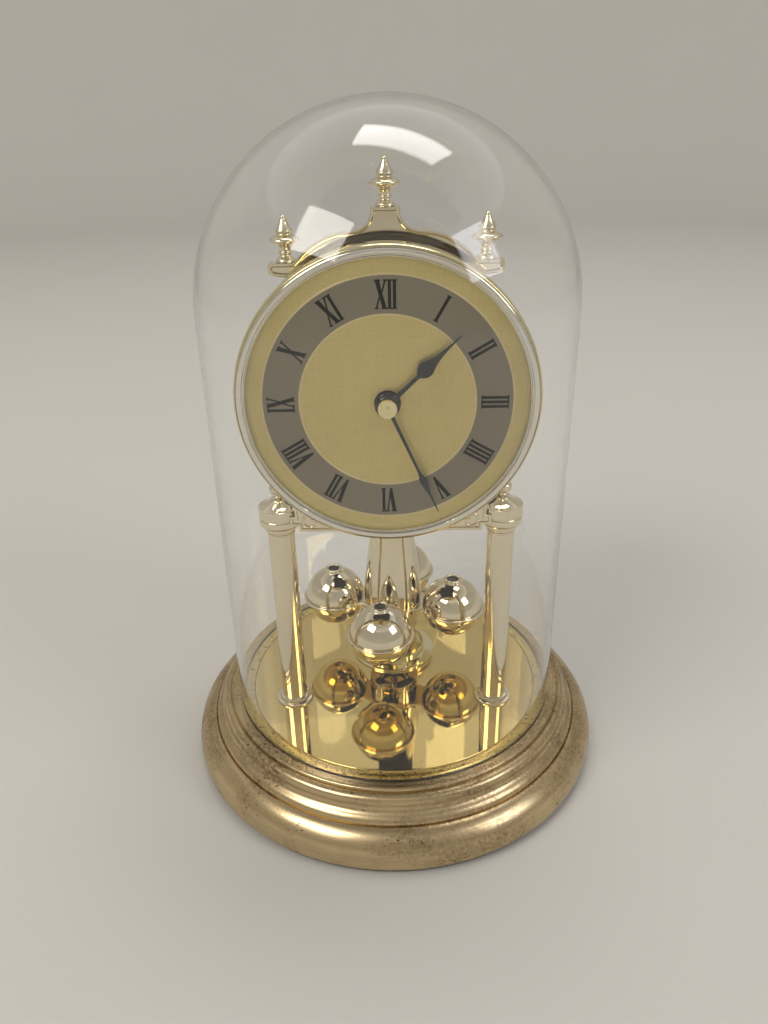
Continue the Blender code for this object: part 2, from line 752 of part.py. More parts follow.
def make_column_set():
    """Both columns with their collars, capitals and knobs."""
    ring_top = shaft_top - NECK_RING_DROP + NECK_RING_HEIGHT
    ring_bottom = shaft_top - NECK_RING_DROP
    shaft_bore = SHAFT_RADIUS - SHAFT_WALL
    shaft = [(shaft_bore, shaft_bottom), (SHAFT_RADIUS, shaft_bottom)]
    shaft += [(SHAFT_RADIUS, ring_bottom), (NECK_RING_RADIUS, ring_bottom)]
    shaft += [(NECK_RING_RADIUS, ring_top), (SHAFT_RADIUS, ring_top)]
    shaft += [(SHAFT_RADIUS, shaft_top), (shaft_bore, shaft_top)]
    collar = [(bolt_bore, collar_bottom), (COLLAR_RADIUS, collar_bottom)]
    collar += [(COLLAR_RADIUS, collar_top - COLLAR_ROUND)]
    collar += [(COLLAR_RADIUS - COLLAR_CHAMFER, collar_top), (bolt_bore, collar_top)]
    bead_bottom = capital_top - CAPITAL_BEAD_HEIGHT
    capital = [(bolt_bore, capital_bottom), (CAPITAL_RADIUS - CAPITAL_BEAD, capital_bottom)]
    capital += [(CAPITAL_RADIUS, capital_bottom + CAPITAL_BEAD), (CAPITAL_RADIUS, bead_bottom)]
    capital += [(CAPITAL_RADIUS + CAPITAL_BEAD, bead_bottom + CAPITAL_BEAD_HEIGHT / 2)]
    capital += [(CAPITAL_RADIUS, capital_top), (bolt_bore, capital_top)]
    bore_top = knob_bottom + KNOB_BORE_DEPTH
    knob = [(0, bore_top), (bolt_bore, bore_top), (bolt_bore, knob_bottom)]
    knob += [(KNOB_RADIUS * r, knob_bottom + KNOB_HEIGHT * z) for r, z in knob_shares]
    for side, word in ((-1, "left"), (1, "right")):
        place = (side * column_x, column_y, 0)
        add_object("column_" + word, turned(bmesh.new(), shaft, SLIM_STEPS), "plated", place)
        add_object("column_collar_" + word, turned(bmesh.new(), collar, SLIM_STEPS), "plated", place)
        add_object("capital_" + word, turned(bmesh.new(), capital, SLIM_STEPS), "plated", place)
        add_object("column_knob_" + word, turned(bmesh.new(), knob, FINIAL_STEPS), "plated", place)


knob_shares = [(1.0, 0.0), (1.0, 0.06), (0.80, 0.19), (0.53, 0.27), (0.53, 0.33), (0.30, 0.38),
               (0.24, 0.52), (0.40, 0.62), (0.48, 0.76), (0.38, 0.91), (0.0, 1.0)]


def make_tie_bolts():
    """Long bolts that hold the base, the columns and the front plate together."""
    head_top = board_top - BOARD_WEB - GAP
    head_bottom = head_top - BOLT_HEAD_HEIGHT
    bolt_top = knob_bottom + KNOB_BORE_DEPTH - GAP
    for side, word in ((-1, "left"), (1, "right")):
        head = rod(bmesh.new(), BOLT_HEAD_RADIUS, head_bottom, head_top, HEX_STEPS)
        place = (side * column_x, column_y, 0)
        bolt = add_object("tie_bolt_" + word, head, "steel", place)
        combine(bolt, rod(bmesh.new(), BOLT_RADIUS, head_top - LAP, bolt_top), "UNION")


# The front plate and its finials


cove_shares = [(1.0, 0.0), (0.66, 0.04), (0.30, 0.26), (0.10, 0.60), (0.0, 1.0)]
crown_shares = [(0.16, 0.26), (0.38, 0.54), (0.62, 0.78), (1.0, 1.0)]
underside_shares = [(0.62, 0.10), (0.87, 0.35)]


def plate_half_outline():
    """Return the right half of the front plate's outline, from the bottom middle to the top."""
    centre = dial_centre
    points = [(bridge_half, bridge_bottom), (bridge_half, lug_bottom)]
    points += [(column_x - GAP, lug_bottom), (column_x - GAP, lug_top), (waist_half, lug_top)]
    tip = (shoulder_outer, shoulder_height - SHOULDER_DROP)
    waist_angle = -math.acos((waist_half + KNOB_RADIUS / 2) / plate_disc_radius)
    top_angle = math.asin((tip[1] - SHOULDER_TUCK - centre[1]) / plate_disc_radius)
    points += arc(centre, plate_disc_radius, waist_angle, top_angle, PLATE_ARC_STEPS)
    inner = points[-1]
    points += [(inner[0] + r * (tip[0] - inner[0]), inner[1] + z * (tip[1] - inner[1]))
               for r, z in underside_shares]
    points += [tip, (shoulder_outer, shoulder_height), (shoulder_inner, shoulder_height)]
    width = shoulder_inner - crown_half
    rise = crown_height - shoulder_height
    points += [(shoulder_inner - r * width, shoulder_height + z * rise) for r, z in crown_shares]
    cove_width = crown_half * crown_foot_share - PEDESTAL_HALF
    cove_rise = pedestal_top - PEDESTAL_SIDE - crown_height
    points += [(PEDESTAL_HALF + r * cove_width, crown_height + z * cove_rise) for r, z in cove_shares]
    points += [(PEDESTAL_HALF, pedestal_top)]
    return points


def make_front_plate():
    """Moulded front plate: bridge, lugs for the columns, and pediment with a raised rim."""
    half = plate_half_outline()
    outline = half + [(-x, z) for x, z in reversed(half)]
    shape = bmesh.new()
    front = slab(shape, outline, PLATE_FRONT_Y, plate_back_y)
    bmesh.ops.recalc_face_normals(shape, faces=shape.faces[:])
    bmesh.ops.inset_region(shape, faces=[front], thickness=RIM_WIDTH, use_even_offset=True)
    bmesh.ops.inset_region(shape, faces=[front], thickness=RIM_DEPTH / 2, depth=-RIM_DEPTH,
                           use_even_offset=True)
    plate = add_object("front_plate", shape, "plated")
    lugs = bmesh.new()
    holes = bmesh.new()
    for side in (-1, 1):
        centre = (side * column_x, column_y, 0)
        rod(lugs, LUG_RADIUS, lug_bottom, lug_top, BALL_STEPS, along_z, centre)
        rod(holes, bolt_bore, lug_bottom - OVERRUN, lug_top + OVERRUN, ROD_STEPS, along_z, centre)
    combine(plate, lugs, "UNION")
    combine(plate, scrolls(), "UNION")
    span = (PLATE_FRONT_Y - OVERRUN, plate_back_y + OVERRUN)
    rod(holes, SETTING_SHAFT_RADIUS + RUN_GAP, *span, ROD_STEPS, along_y, on_dial(setting_centre))
    combine(plate, holes)
    combine(plate, housing_screws(SCREW_RADIUS + GAP, SCREW_HEAD_RADIUS))


def scrolls():
    """Return the C-scrolls that stand on the bridge's lower corners."""
    shape = bmesh.new()
    face_y = PLATE_FRONT_Y + RIM_DEPTH
    middle_height = bridge_bottom + SCROLL_INSET
    for side in (-1, 1):
        rings = []
        for step in range(SCROLL_STEPS + 1):
            share = step / SCROLL_STEPS
            angle = SCROLL_START + SCROLL_SWEEP * share
            radius = SCROLL_RADIUS * (1 - scroll_taper_share * share)
            wire = SCROLL_WIRE * (1 - wire_taper_share * share)
            centre_x = side * (bridge_half - SCROLL_INSET)
            ring = []
            for corner in range(SCROLL_SIDES):
                around = math.tau * corner / SCROLL_SIDES
                reach = radius + wire * math.cos(around)
                x = centre_x - side * reach * math.cos(angle)
                z = middle_height + reach * math.sin(angle)
                ring.append(shape.verts.new((x, face_y + wire * math.sin(around), z)))
            rings.append(ring)
        for before, after in zip(rings, rings[1:]):
            for corner in range(SCROLL_SIDES):
                next_corner = (corner + 1) % SCROLL_SIDES
                shape.faces.new([before[corner], before[next_corner],
                                 after[next_corner], after[corner]])
        shape.faces.new(rings[0])
        shape.faces.new(list(reversed(rings[-1])))
    return shape


finial_shares = [(0.0, 0.0), (0.59, 0.0), (0.31, 0.12), (0.31, 0.17), (0.40, 0.21), (0.32, 0.27),
                 (0.54, 0.39), (0.95, 0.44), (0.95, 0.52), (0.52, 0.57), (0.52, 0.66), (0.34, 0.84),
                 (0.0, 1.0)]


def make_finials():
    """Three turned finials on the pediment."""
    profile = [(FINIAL_RADIUS * r, FINIAL_HEIGHT * z) for r, z in finial_shares]
    places = (("finial_centre", 0, pedestal_top), ("finial_left", -finial_x, shoulder_height),
              ("finial_right", finial_x, shoulder_height))
    for name, x, height in places:
        shape = turned(bmesh.new(), profile, FINIAL_STEPS)
        add_object(name, shape, "plated", (x, finial_y, height + GAP))


# Dial, bezel, drum and hands


def make_dial_group():
    """Dial, bezel, the drum that carries them, and the nut on the dial."""
    centre = on_dial(dial_centre)
    bush_hole = BUSH_RADIUS + GAP
    dial = tube(bmesh.new(), bush_hole, dial_radius, dial_front_y, dial_back_y, WIDE_STEPS,
                along_y, centre)
    add_object("dial", dial, "dial")
    lip_back = dial_front_y - GAP
    front = bezel_front_y
    skirt_back = dial_back_y + BEZEL_SKIRT
    skirt_bore = dial_radius + GAP
    profile = [(bezel_radius, skirt_back), (bezel_radius, front + BEZEL_LIP / 2)]
    profile += [(bezel_radius - BEZEL_LIP / 2, front), (bezel_radius - BEZEL_LAND, front)]
    profile += [(bezel_opening, lip_back - BEZEL_LIP), (bezel_opening, lip_back)]
    profile += [(skirt_bore, lip_back), (skirt_bore, skirt_back)]
    add_object("bezel", turned(bmesh.new(), profile, WIDE_STEPS, along_y, centre), "plated")
    drum = tube(bmesh.new(), dial_radius - DRUM_WALL, dial_radius, drum_front_y, drum_back_y,
                WIDE_STEPS, along_y, centre)
    add_object("dial_drum", drum, "gold_plated")
    nut = tube(bmesh.new(), BUSH_RADIUS + GAP, DIAL_NUT_RADIUS, dial_nut_front_y,
               dial_front_y - GAP, SLIM_STEPS, along_y, centre)
    add_object("dial_nut", nut, "black")


hour_hand_shares = [(0.34, 0.18), (0.42, 0.24), (0.47, 0.70), (0.52, 1.0), (0.58, 0.86),
                    (0.64, 0.40), (0.70, 0.17), (0.97, 0.10), (1.0, 0.03)]
minute_hand_shares = [(0.30, 0.34), (0.62, 0.36), (0.67, 0.75), (0.72, 1.0), (0.77, 0.80),
                      (0.83, 0.40), (0.90, 0.24), (0.98, 0.16), (1.0, 0.05)]
cap_shares = [(0.0, 0.0), (1.0, 0.0), (1.0, 0.4), (0.82, 0.75), (0.45, 0.96), (0.0, 1.0)]


def hand_outline(length, width, hub, shares, angle):
    """Return a spade hand's outline about its hub, pointing along the clock angle."""
    start = math.asin(shares[0][1] * width / 2 / hub)
    round_hub = arc((0, 0), hub, start, math.tau - start, SLIM_STEPS)
    up_side = [(share * length, half * width / 2) for share, half in shares[1:]]
    down_side = [(x, -y) for x, y in up_side]
    points = round_hub + down_side + list(reversed(up_side))
    turn = math.pi / 2 - angle
    placed = []
    for x, y in points:
        placed.append((x * math.cos(turn) - y * math.sin(turn),
                       x * math.sin(turn) + y * math.cos(turn)))
    return placed


def make_hands():
    """Hour hand, minute hand and the cap over the arbor."""
    hands = (("hour_hand", hour_hand_length, HOUR_HAND_WIDTH, HOUR_HUB_RADIUS, hour_hand_shares,
              HOUR_HAND_ANGLE, hour_hand_front_y, pipe_radius + GAP),
             ("minute_hand", minute_hand_length, MINUTE_HAND_WIDTH, MINUTE_HUB_RADIUS,
              minute_hand_shares, MINUTE_HAND_ANGLE, minute_hand_front_y, ARBOR_RADIUS + GAP))
    for name, length, width, hub, shares, angle, front, bore in hands:
        shape = bmesh.new()
        outline = hand_outline(length, width, hub, shares, angle)
        slab(shape, outline, front, front + HAND_THICKNESS)
        hand = add_object(name, shape, "black", on_dial(dial_centre), smooth=False)
        hole = rod(bmesh.new(), bore, front - OVERRUN, front + HAND_THICKNESS + OVERRUN, ROD_STEPS,
                   along_y)
        combine(hand, hole)
    profile = [(HAND_CAP_RADIUS * r, cap_back_y - HAND_CAP_HEIGHT * y) for r, y in cap_shares]
    cap = turned(bmesh.new(), profile, SLIM_STEPS, along_y)
    add_object("hand_cap", cap, "gold_plated", on_dial(dial_centre))


# The quartz movement


def rounded_square(half, corner, centre):
    """Return a square outline with round corners."""
    points = []
    for index in range(4):
        start = math.pi / 2 * index
        middle = math.radians(45) + start
        reach = (half - corner) * math.sqrt(2)
        points += arc(polar(centre, reach, middle), corner, start, start + math.pi / 2,
                      CORNER_STEPS)
    return points


def make_movement_case():
    """Front half of the movement case, with the threaded bush and the minute wheel's stud."""
    shape = bmesh.new()
    slab(shape, rounded_square(case_half, CASE_CORNER, dial_centre), case_front_y, case_back_y)
    case = add_object("movement_case", shape, "black_plastic", smooth=False)
    hollow = bmesh.new()
    inside = rounded_square(case_half - CASE_WALL, CASE_CORNER - CASE_WALL, dial_centre)
    slab(hollow, inside, case_inside_y, case_back_y + OVERRUN)
    combine(case, hollow)
    added = bmesh.new()
    middle = on_dial(dial_centre)
    bush_bore = pipe_radius + RUN_GAP
    tube(added, bush_bore, BUSH_RADIUS, dial_nut_front_y + GAP, case_front_y + LAP,
         SLIM_STEPS, along_y, middle)
    stud_back = minute_wheel_y + WHEEL_THICKNESS + WHEEL_SPACE
    rod(added, STUD_RADIUS, case_inside_y - LAP, stud_back, ROD_STEPS, along_y,
        on_dial(minute_wheel_centre))
    combine(case, added, "UNION")
    bore = rod(bmesh.new(), bush_bore, dial_nut_front_y - OVERRUN, case_inside_y + LAP,
               SLIM_STEPS, along_y, middle)
    combine(case, bore)


def make_rear_plate():
    """Rear plate of the movement with the arbor's bush."""
    shape = bmesh.new()
    outline = rounded_square(case_half, CASE_CORNER, dial_centre)
    slab(shape, outline, rear_plate_front_y, rear_plate_back_y)
    plate = add_object("movement_rear_plate", shape, "black_plastic", smooth=False)
    bush = tube(bmesh.new(), ARBOR_RADIUS + RUN_GAP, REAR_BUSH_RADIUS,
                rear_plate_front_y - REAR_BUSH_HEIGHT, rear_plate_front_y + LAP,
                SLIM_STEPS, along_y, on_dial(dial_centre))
    combine(plate, bush, "UNION")
    hole = rod(bmesh.new(), SETTING_SHAFT_RADIUS + RUN_GAP, rear_plate_front_y - OVERRUN,
               rear_plate_back_y + OVERRUN, ROD_STEPS, along_y, on_dial(setting_centre))
    combine(plate, hole)


def make_wheel(name, finish_name, layers, shaft, bore=0.0):
    """Join toothed layers and a shaft into one wheel, and bore it where it runs on a stud."""
    centre, shaft_radius, shaft_front, shaft_back = shaft
    shape = bmesh.new()
    module, teeth, phase, front, thickness = layers[0]
    slab(shape, gear_outline(module, teeth, phase), front, front + thickness)
    wheel = add_object(name, shape, finish_name, on_dial(centre), smooth=False)
    for module, teeth, phase, front, thickness in layers[1:]:
        layer = bmesh.new()
        slab(layer, gear_outline(module, teeth, phase), front, front + thickness)
        combine(wheel, layer, "UNION")
    if shaft_radius:
        body = rod(bmesh.new(), shaft_radius, shaft_front, shaft_back, SLIM_STEPS, along_y)
        combine(wheel, body, "UNION")
    if bore:
        hole = rod(bmesh.new(), bore, shaft_front - OVERRUN, front + thickness + OVERRUN, SLIM_STEPS,
                   along_y)
        combine(wheel, hole)


def make_wheels():
    """The wheels between the motor and the two hands, in mesh at rest."""
    cannon_phase = MINUTE_WHEEL_DIRECTION
    minute_phase = meshed_phase(cannon_phase, PINION_TEETH, MINUTE_WHEEL_TEETH,
                                MINUTE_WHEEL_DIRECTION)
    centre_phase = DRIVE_DIRECTION
    drive_phase = meshed_phase(centre_phase, CENTRE_WHEEL_TEETH, PINION_TEETH, DRIVE_DIRECTION)
    pinion_phase = MINUTE_WHEEL_DIRECTION + math.pi
    hour_phase = meshed_phase(pinion_phase, PINION_TEETH, HOUR_WHEEL_TEETH,
                              MINUTE_WHEEL_DIRECTION + math.pi)
    setting_phase = meshed_phase(minute_phase, MINUTE_WHEEL_TEETH, SETTING_TEETH,
                                 SETTING_DIRECTION)
    cannon_front = minute_wheel_y - LAP
    centre_layers = [(DRIVE_MODULE, CENTRE_WHEEL_TEETH, centre_phase, centre_wheel_y, WHEEL_THICKNESS),
                     (CANNON_MODULE, PINION_TEETH, cannon_phase, cannon_front,
                      centre_wheel_y - cannon_front + LAP)]
    arbor_front = minute_hand_front_y + GAP
    make_wheel("centre_wheel", "gold_plated", centre_layers,
               (dial_centre, ARBOR_RADIUS, arbor_front, rear_plate_front_y - GAP))
    minute_layers = [(CANNON_MODULE, MINUTE_WHEEL_TEETH, minute_phase, minute_wheel_y,
                      WHEEL_THICKNESS),
                     (hour_module, PINION_TEETH, pinion_phase, minute_pinion_y,
                      PINION_THICKNESS + LAP)]
    make_wheel("minute_wheel", "white_plastic", minute_layers,
               (minute_wheel_centre, 0, minute_pinion_y, minute_wheel_y + WHEEL_THICKNESS),
               STUD_RADIUS + RUN_GAP)
    pipe_front = hour_hand_front_y + LAP / 2
    hour_layers = [(hour_module, HOUR_WHEEL_TEETH, hour_phase, hour_wheel_y, WHEEL_THICKNESS)]
    make_wheel("hour_wheel", "white_plastic", hour_layers,
               (dial_centre, pipe_radius, pipe_front, hour_wheel_y + LAP), pipe_bore)
    drive_layers = [(DRIVE_MODULE, PINION_TEETH, drive_phase, drive_pinion_y, PINION_THICKNESS)]
    make_wheel("drive_pinion", "white_plastic", drive_layers,
               (drive_centre, DRIVE_SHAFT_RADIUS, drive_pinion_y + LAP,
                rear_plate_front_y - WHEEL_SPACE))
    setting_layers = [(CANNON_MODULE, SETTING_TEETH, setting_phase, minute_wheel_y - LAP,
                       WHEEL_THICKNESS + 2 * LAP)]
    knob_back = plate_back_y + GAP + SET_KNOB_HEIGHT
    make_wheel("setting_pinion", "white_plastic", setting_layers,
               (setting_centre, SETTING_SHAFT_RADIUS, minute_wheel_y, knob_back - WHEEL_SPACE))


def make_setting_knob():
    """Ribbed knob at the back that sets the hands."""
    outline = []
    front = plate_back_y + GAP
    for rib in range(SET_KNOB_RIBS):
        for share, radius in ((0.0, SET_KNOB_RADIUS), (0.5, SET_KNOB_RADIUS - SET_KNOB_RIB_DEPTH)):
            outline.append(polar((0, 0), radius, math.tau * (rib + share) / SET_KNOB_RIBS))
    shape = bmesh.new()
    slab(shape, outline, front, front + SET_KNOB_HEIGHT)
    knob = add_object("setting_knob", shape, "black_plastic", on_dial(setting_centre), smooth=False)
    bore = rod(bmesh.new(), SETTING_SHAFT_RADIUS + GAP, front - OVERRUN,
               front + SET_KNOB_HEIGHT + OVERRUN, ROD_STEPS, along_y)
    combine(knob, bore)


def make_motor():
    """Sealed stepping motor with its coil, and the circuit board with its quartz can."""
    shape = bmesh.new()
    low_x = motor_x - motor_width / 2
    low_z = dial_centre_height - MOTOR_DROP - MOTOR_HEIGHT / 2
    back_y = rear_plate_front_y - GAP
    block(shape, (low_x, motor_front_y, low_z), (low_x + motor_width, back_y, low_z + MOTOR_HEIGHT))
    coil_y = back_y - COIL_RADIUS
    coil_place = (motor_x, coil_y, dial_centre_height + coil_z)
    motor = add_object("stepping_motor", shape, "white_plastic", smooth=False)
    bore = rod(bmesh.new(), DRIVE_SHAFT_RADIUS + RUN_GAP, motor_front_y - OVERRUN, back_y + OVERRUN,
               ROD_STEPS, along_y, on_dial(drive_centre))
    combine(motor, bore)
    coil = rod(bmesh.new(), COIL_RADIUS, -COIL_LENGTH / 2, COIL_LENGTH / 2, SLIM_STEPS, along_x,
               coil_place)
    combine(motor, coil, "UNION")
    low_x = circuit_x - circuit_width / 2
    low_z = dial_centre_height + circuit_z - CIRCUIT_HEIGHT / 2
    board = block(bmesh.new(), (low_x, back_y - PCB_THICKNESS, low_z),
                  (low_x + circuit_width, back_y, low_z + CIRCUIT_HEIGHT))
    can_y = back_y - PCB_THICKNESS - QUARTZ_RADIUS / 2
    can_place = (circuit_x, can_y, dial_centre_height + circuit_z)
    circuit = add_object("circuit_board", board, "circuit", smooth=False)
    can = rod(bmesh.new(), QUARTZ_RADIUS, -QUARTZ_LENGTH / 2, QUARTZ_LENGTH / 2, ROD_STEPS, along_x,
              can_place)
    combine(circuit, can, "UNION")


# The pendulum, about its own axis


def ball_places():
    """Return the four balls' names and centres at rest."""
    names = ("right", "back", "left", "front")
    places = []
    for index in range(BALL_COUNT):
        angle = PENDULUM_REST + math.tau * index / BALL_COUNT
        x, y = polar((0, 0), ball_circle, angle)
        places.append((names[index], (x, y, ball_height)))
    return places


def make_arms(pivot):
    """Flat cross that carries the balls between their halves."""
    shape = bmesh.new()
    outline = []
    for index in range(BALL_COUNT):
        middle = PENDULUM_REST + math.tau * index / BALL_COUNT
        end = polar((0, 0), ball_circle, middle)
        open_angle = math.pi - math.asin(ARM_NECK / arm_ring_radius)
        outline += arc(end, arm_ring_radius, middle - open_angle, middle + open_angle,
                       ARM_ARC_STEPS)
        corner = middle + math.pi / BALL_COUNT
        outline.append(polar((0, 0), ARM_HUB_RADIUS, corner))
    low = [shape.verts.new((x, y, arms_bottom)) for x, y in outline]
    high = [shape.verts.new((x, y, arms_top)) for x, y in outline]
    shape.faces.new(list(reversed(low)))
    shape.faces.new(high)
    for index in range(len(outline)):
        after = (index + 1) % len(outline)
        shape.faces.new([low[index], low[after], high[after], high[index]])
    arms = add_object("pendulum_arms", shape, "plated", parent=pivot)
    holes = bmesh.new()
    span = (arms_bottom - OVERRUN, arms_top + OVERRUN)
    rod(holes, HUB_STEM_RADIUS + GAP, *span, SLIM_STEPS)
    for _, place in ball_places():
        rod(holes, SCREW_RADIUS + GAP, *span, ROD_STEPS, along_z, (place[0], place[1], 0))
    combine(arms, holes)


def make_balls(pivot):
    """Four balls in two halves; the screw in each upper half holds the lower one."""
    seat = ARM_THICKNESS / 2 + GAP
    start = math.asin(seat / BALL_RADIUS)
    boss_angle = math.acos(BALL_BOSS_RADIUS / BALL_RADIUS)
    well_floor = ball_boss_top - BALL_WELL_DEPTH
    upper = [(0, -ball_screw_reach), (SCREW_RADIUS, -ball_screw_reach), (SCREW_RADIUS, seat)]
    upper += arc((0, 0), BALL_RADIUS, start, boss_angle, BALL_ARC_STEPS)
    upper += [(BALL_BOSS_RADIUS, ball_boss_top - GAP), (BALL_BOSS_RADIUS - GAP, ball_boss_top)]
    upper += [(BALL_WELL_RADIUS, ball_boss_top), (BALL_WELL_RADIUS, well_floor)]
    upper += [(SCREW_HEAD_RADIUS, well_floor), (SCREW_HEAD_RADIUS * screw_dome_share, ball_boss_top - GAP)]
    upper += [(0, ball_boss_top)]
    pole_angle = math.acos(BALL_POLE_RADIUS / BALL_RADIUS)
    pole_floor = BALL_RADIUS * math.sin(pole_angle) - BALL_POLE_DEPTH
    bore = SCREW_RADIUS + GAP
    lower = [(bore, -seat)] + arc((0, 0), BALL_RADIUS, -start, -pole_angle, BALL_ARC_STEPS)
    lower += [(BALL_POLE_RADIUS, -pole_floor), (0, -pole_floor), (0, -ball_screw_reach - GAP)]
    lower += [(bore, -ball_screw_reach - GAP)]
    for word, place in ball_places():
        top = turned(bmesh.new(), upper, BALL_STEPS)
        add_object("ball_" + word + "_upper", top, "plated", place, parent=pivot)
        bottom = turned(bmesh.new(), lower, BALL_STEPS)
        add_object("ball_" + word + "_lower", bottom, "gold_plated", place, parent=pivot)


bell_shares = [(0.0, 0.03), (0.08, 0.0), (0.15, 0.0), (0.28, 0.13), (0.47, 0.45), (0.72, 0.84),
               (1.0, 1.0)]


def make_bell(pivot):
    """Flared bell over the arms, hung from the suspension wire."""
    shape = bmesh.new()
    flare = BELL_MOUTH_RADIUS - BELL_NECK_RADIUS
    outer = [(BELL_MOUTH_RADIUS - f * flare, bell_bottom + h * bell_height) for h, f in bell_shares]
    inner = [(r - BELL_WALL, h) for r, h in outer]
    inner[-1] = (inner[-1][0], bell_top - BELL_WALL)
    bore_floor = bell_boss_top - WIRE_SEAT_DEPTH - GAP
    cap = [(BELL_BOSS_RADIUS, bell_top), (BELL_BOSS_RADIUS, bell_boss_top)]
    cap += [(WIRE_HOLE_RADIUS, bell_boss_top), (WIRE_HOLE_RADIUS, bore_floor), (0, bore_floor)]
    under = [(0, bell_top - BELL_WALL)]
    profile = outer + cap + under + list(reversed(inner))
    turned(shape, profile, BELL_STEPS)
    add_object("pendulum_bell", shape, "plated", parent=pivot)


def make_hub(pivot):
    """Lower hub with the stem that passes through the arms into the bell, and its spindle."""
    shape = bmesh.new()
    spindle_bore = SPINDLE_RADIUS + GAP
    well_top = hub_bottom + HUB_WELL_DEPTH
    bore_top = hub_top - GAP
    stem_top = bell_top - BELL_WALL - GAP
    edge = HUB_RADIUS - GAP
    profile = [(0, bore_top), (spindle_bore, bore_top), (spindle_bore, well_top)]
    profile += [(HUB_WELL_RADIUS, well_top), (HUB_WELL_RADIUS, hub_bottom), (edge, hub_bottom)]
    profile += [(HUB_RADIUS, hub_bottom + GAP), (HUB_RADIUS, hub_top), (HUB_STEM_RADIUS, hub_top)]
    profile += [(HUB_STEM_RADIUS, stem_top), (0, stem_top)]
    turned(shape, profile, BALL_STEPS)
    add_object("pendulum_hub", shape, "plated", parent=pivot)
    spindle = rod(bmesh.new(), SPINDLE_RADIUS, spindle_bottom, bore_top - GAP)
    add_object("pendulum_spindle", spindle, "steel", parent=pivot)


def make_magnet(pivot):
    """Ring magnet on the bell's boss, below the drive coil."""
    bottom = bell_top + GAP
    shape = tube(bmesh.new(), BELL_BOSS_RADIUS + GAP, MAGNET_RADIUS, bottom, bottom + MAGNET_HEIGHT)
    add_object("pendulum_magnet", shape, "steel", parent=pivot)


def make_wire():
    """Thin suspension wire with the stop that rests on the clamp."""
    foot = bell_boss_top - WIRE_SEAT_DEPTH
    stop_bottom = clamp_top + GAP
    profile = [(0, foot), (WIRE_RADIUS, foot), (WIRE_RADIUS, stop_bottom)]
    profile += [(WIRE_STOP_RADIUS, stop_bottom), (WIRE_STOP_RADIUS, stop_bottom + WIRE_STOP_HEIGHT)]
    profile += [(0, stop_bottom + WIRE_STOP_HEIGHT)]
    shape = turned(bmesh.new(), profile, WIRE_STEPS)
    add_object("suspension_wire", shape, "steel", (0, PENDULUM_Y, 0))


# The pendulum drive and the battery


def housing_screws(radius, head_radius):
    """Return the screws that fix the housing to the front plate, or with a gap their holes."""
    shape = bmesh.new()
    seat = housing_front_y + DRIVE_WALL / 2
    reach = plate_back_y - HOUSING_SCREW_REACH - radius + SCREW_RADIUS
    height = drive_top - HOUSING_SCREW_DROP
    head = seat + DRIVE_WALL / 2 + SCREW_HEAD_HEIGHT
    for side in (-1, 1):
        profile = [(0, reach), (radius, reach), (radius, seat), (head_radius, seat)]
        profile += [(head_radius, head), (0, head)]
        turned(shape, profile, ROD_STEPS, along_y, (side * housing_screw_x, 0, height))
    return shape


def make_drive_housing():
    """Housing behind the front plate, open above, with a hole for the wire."""
    shape = block(bmesh.new(), (-drive_half, housing_front_y, drive_bottom),
                  (drive_half, drive_back_y, drive_top))
    housing = add_object("drive_housing", shape, "black_plastic", smooth=False)
    low = (-drive_half + DRIVE_WALL, housing_front_y + DRIVE_WALL, drive_floor)
    high = (drive_half - DRIVE_WALL, drive_back_y - DRIVE_WALL, drive_top + OVERRUN)
    combine(housing, block(bmesh.new(), low, high))
    hole = rod(bmesh.new(), DRIVE_COIL_BORE, drive_bottom - OVERRUN, drive_floor + OVERRUN,
               SLIM_STEPS, along_z, (0, PENDULUM_Y, 0))
    combine(housing, hole)
    combine(housing, housing_screws(SCREW_RADIUS, SCREW_HEAD_RADIUS), "UNION")


def make_drive_coil():
    """Round coil that nudges the pendulum's magnet."""
    shape = tube(bmesh.new(), DRIVE_COIL_BORE, DRIVE_COIL_RADIUS, drive_floor + GAP,
                 drive_floor + GAP + DRIVE_COIL_HEIGHT, BALL_STEPS, along_z, (0, PENDULUM_Y, 0))
    add_object("drive_coil", shape, "copper")


def make_clamp():
    """Bracket over the coil that the suspension wire hangs from."""
    floor = drive_floor + GAP
    front = PENDULUM_Y - CLAMP_DEPTH / 2
    back = PENDULUM_Y + CLAMP_DEPTH / 2
    shape = block(bmesh.new(), (-CLAMP_HALF, front, floor), (CLAMP_HALF, back, clamp_top))
    clamp = add_object("suspension_clamp", shape, "steel", smooth=False)
    inside = CLAMP_HALF - CLAMP_THICKNESS
    arch = block(bmesh.new(), (-inside, front - OVERRUN, floor - OVERRUN),
                 (inside, back + OVERRUN, clamp_top - CLAMP_THICKNESS))
    combine(clamp, arch)
    hole = rod(bmesh.new(), WIRE_HOLE_RADIUS, clamp_top - CLAMP_THICKNESS - OVERRUN,
               clamp_top + OVERRUN, ROD_STEPS, along_z, (0, PENDULUM_Y, 0))
    combine(clamp, hole)


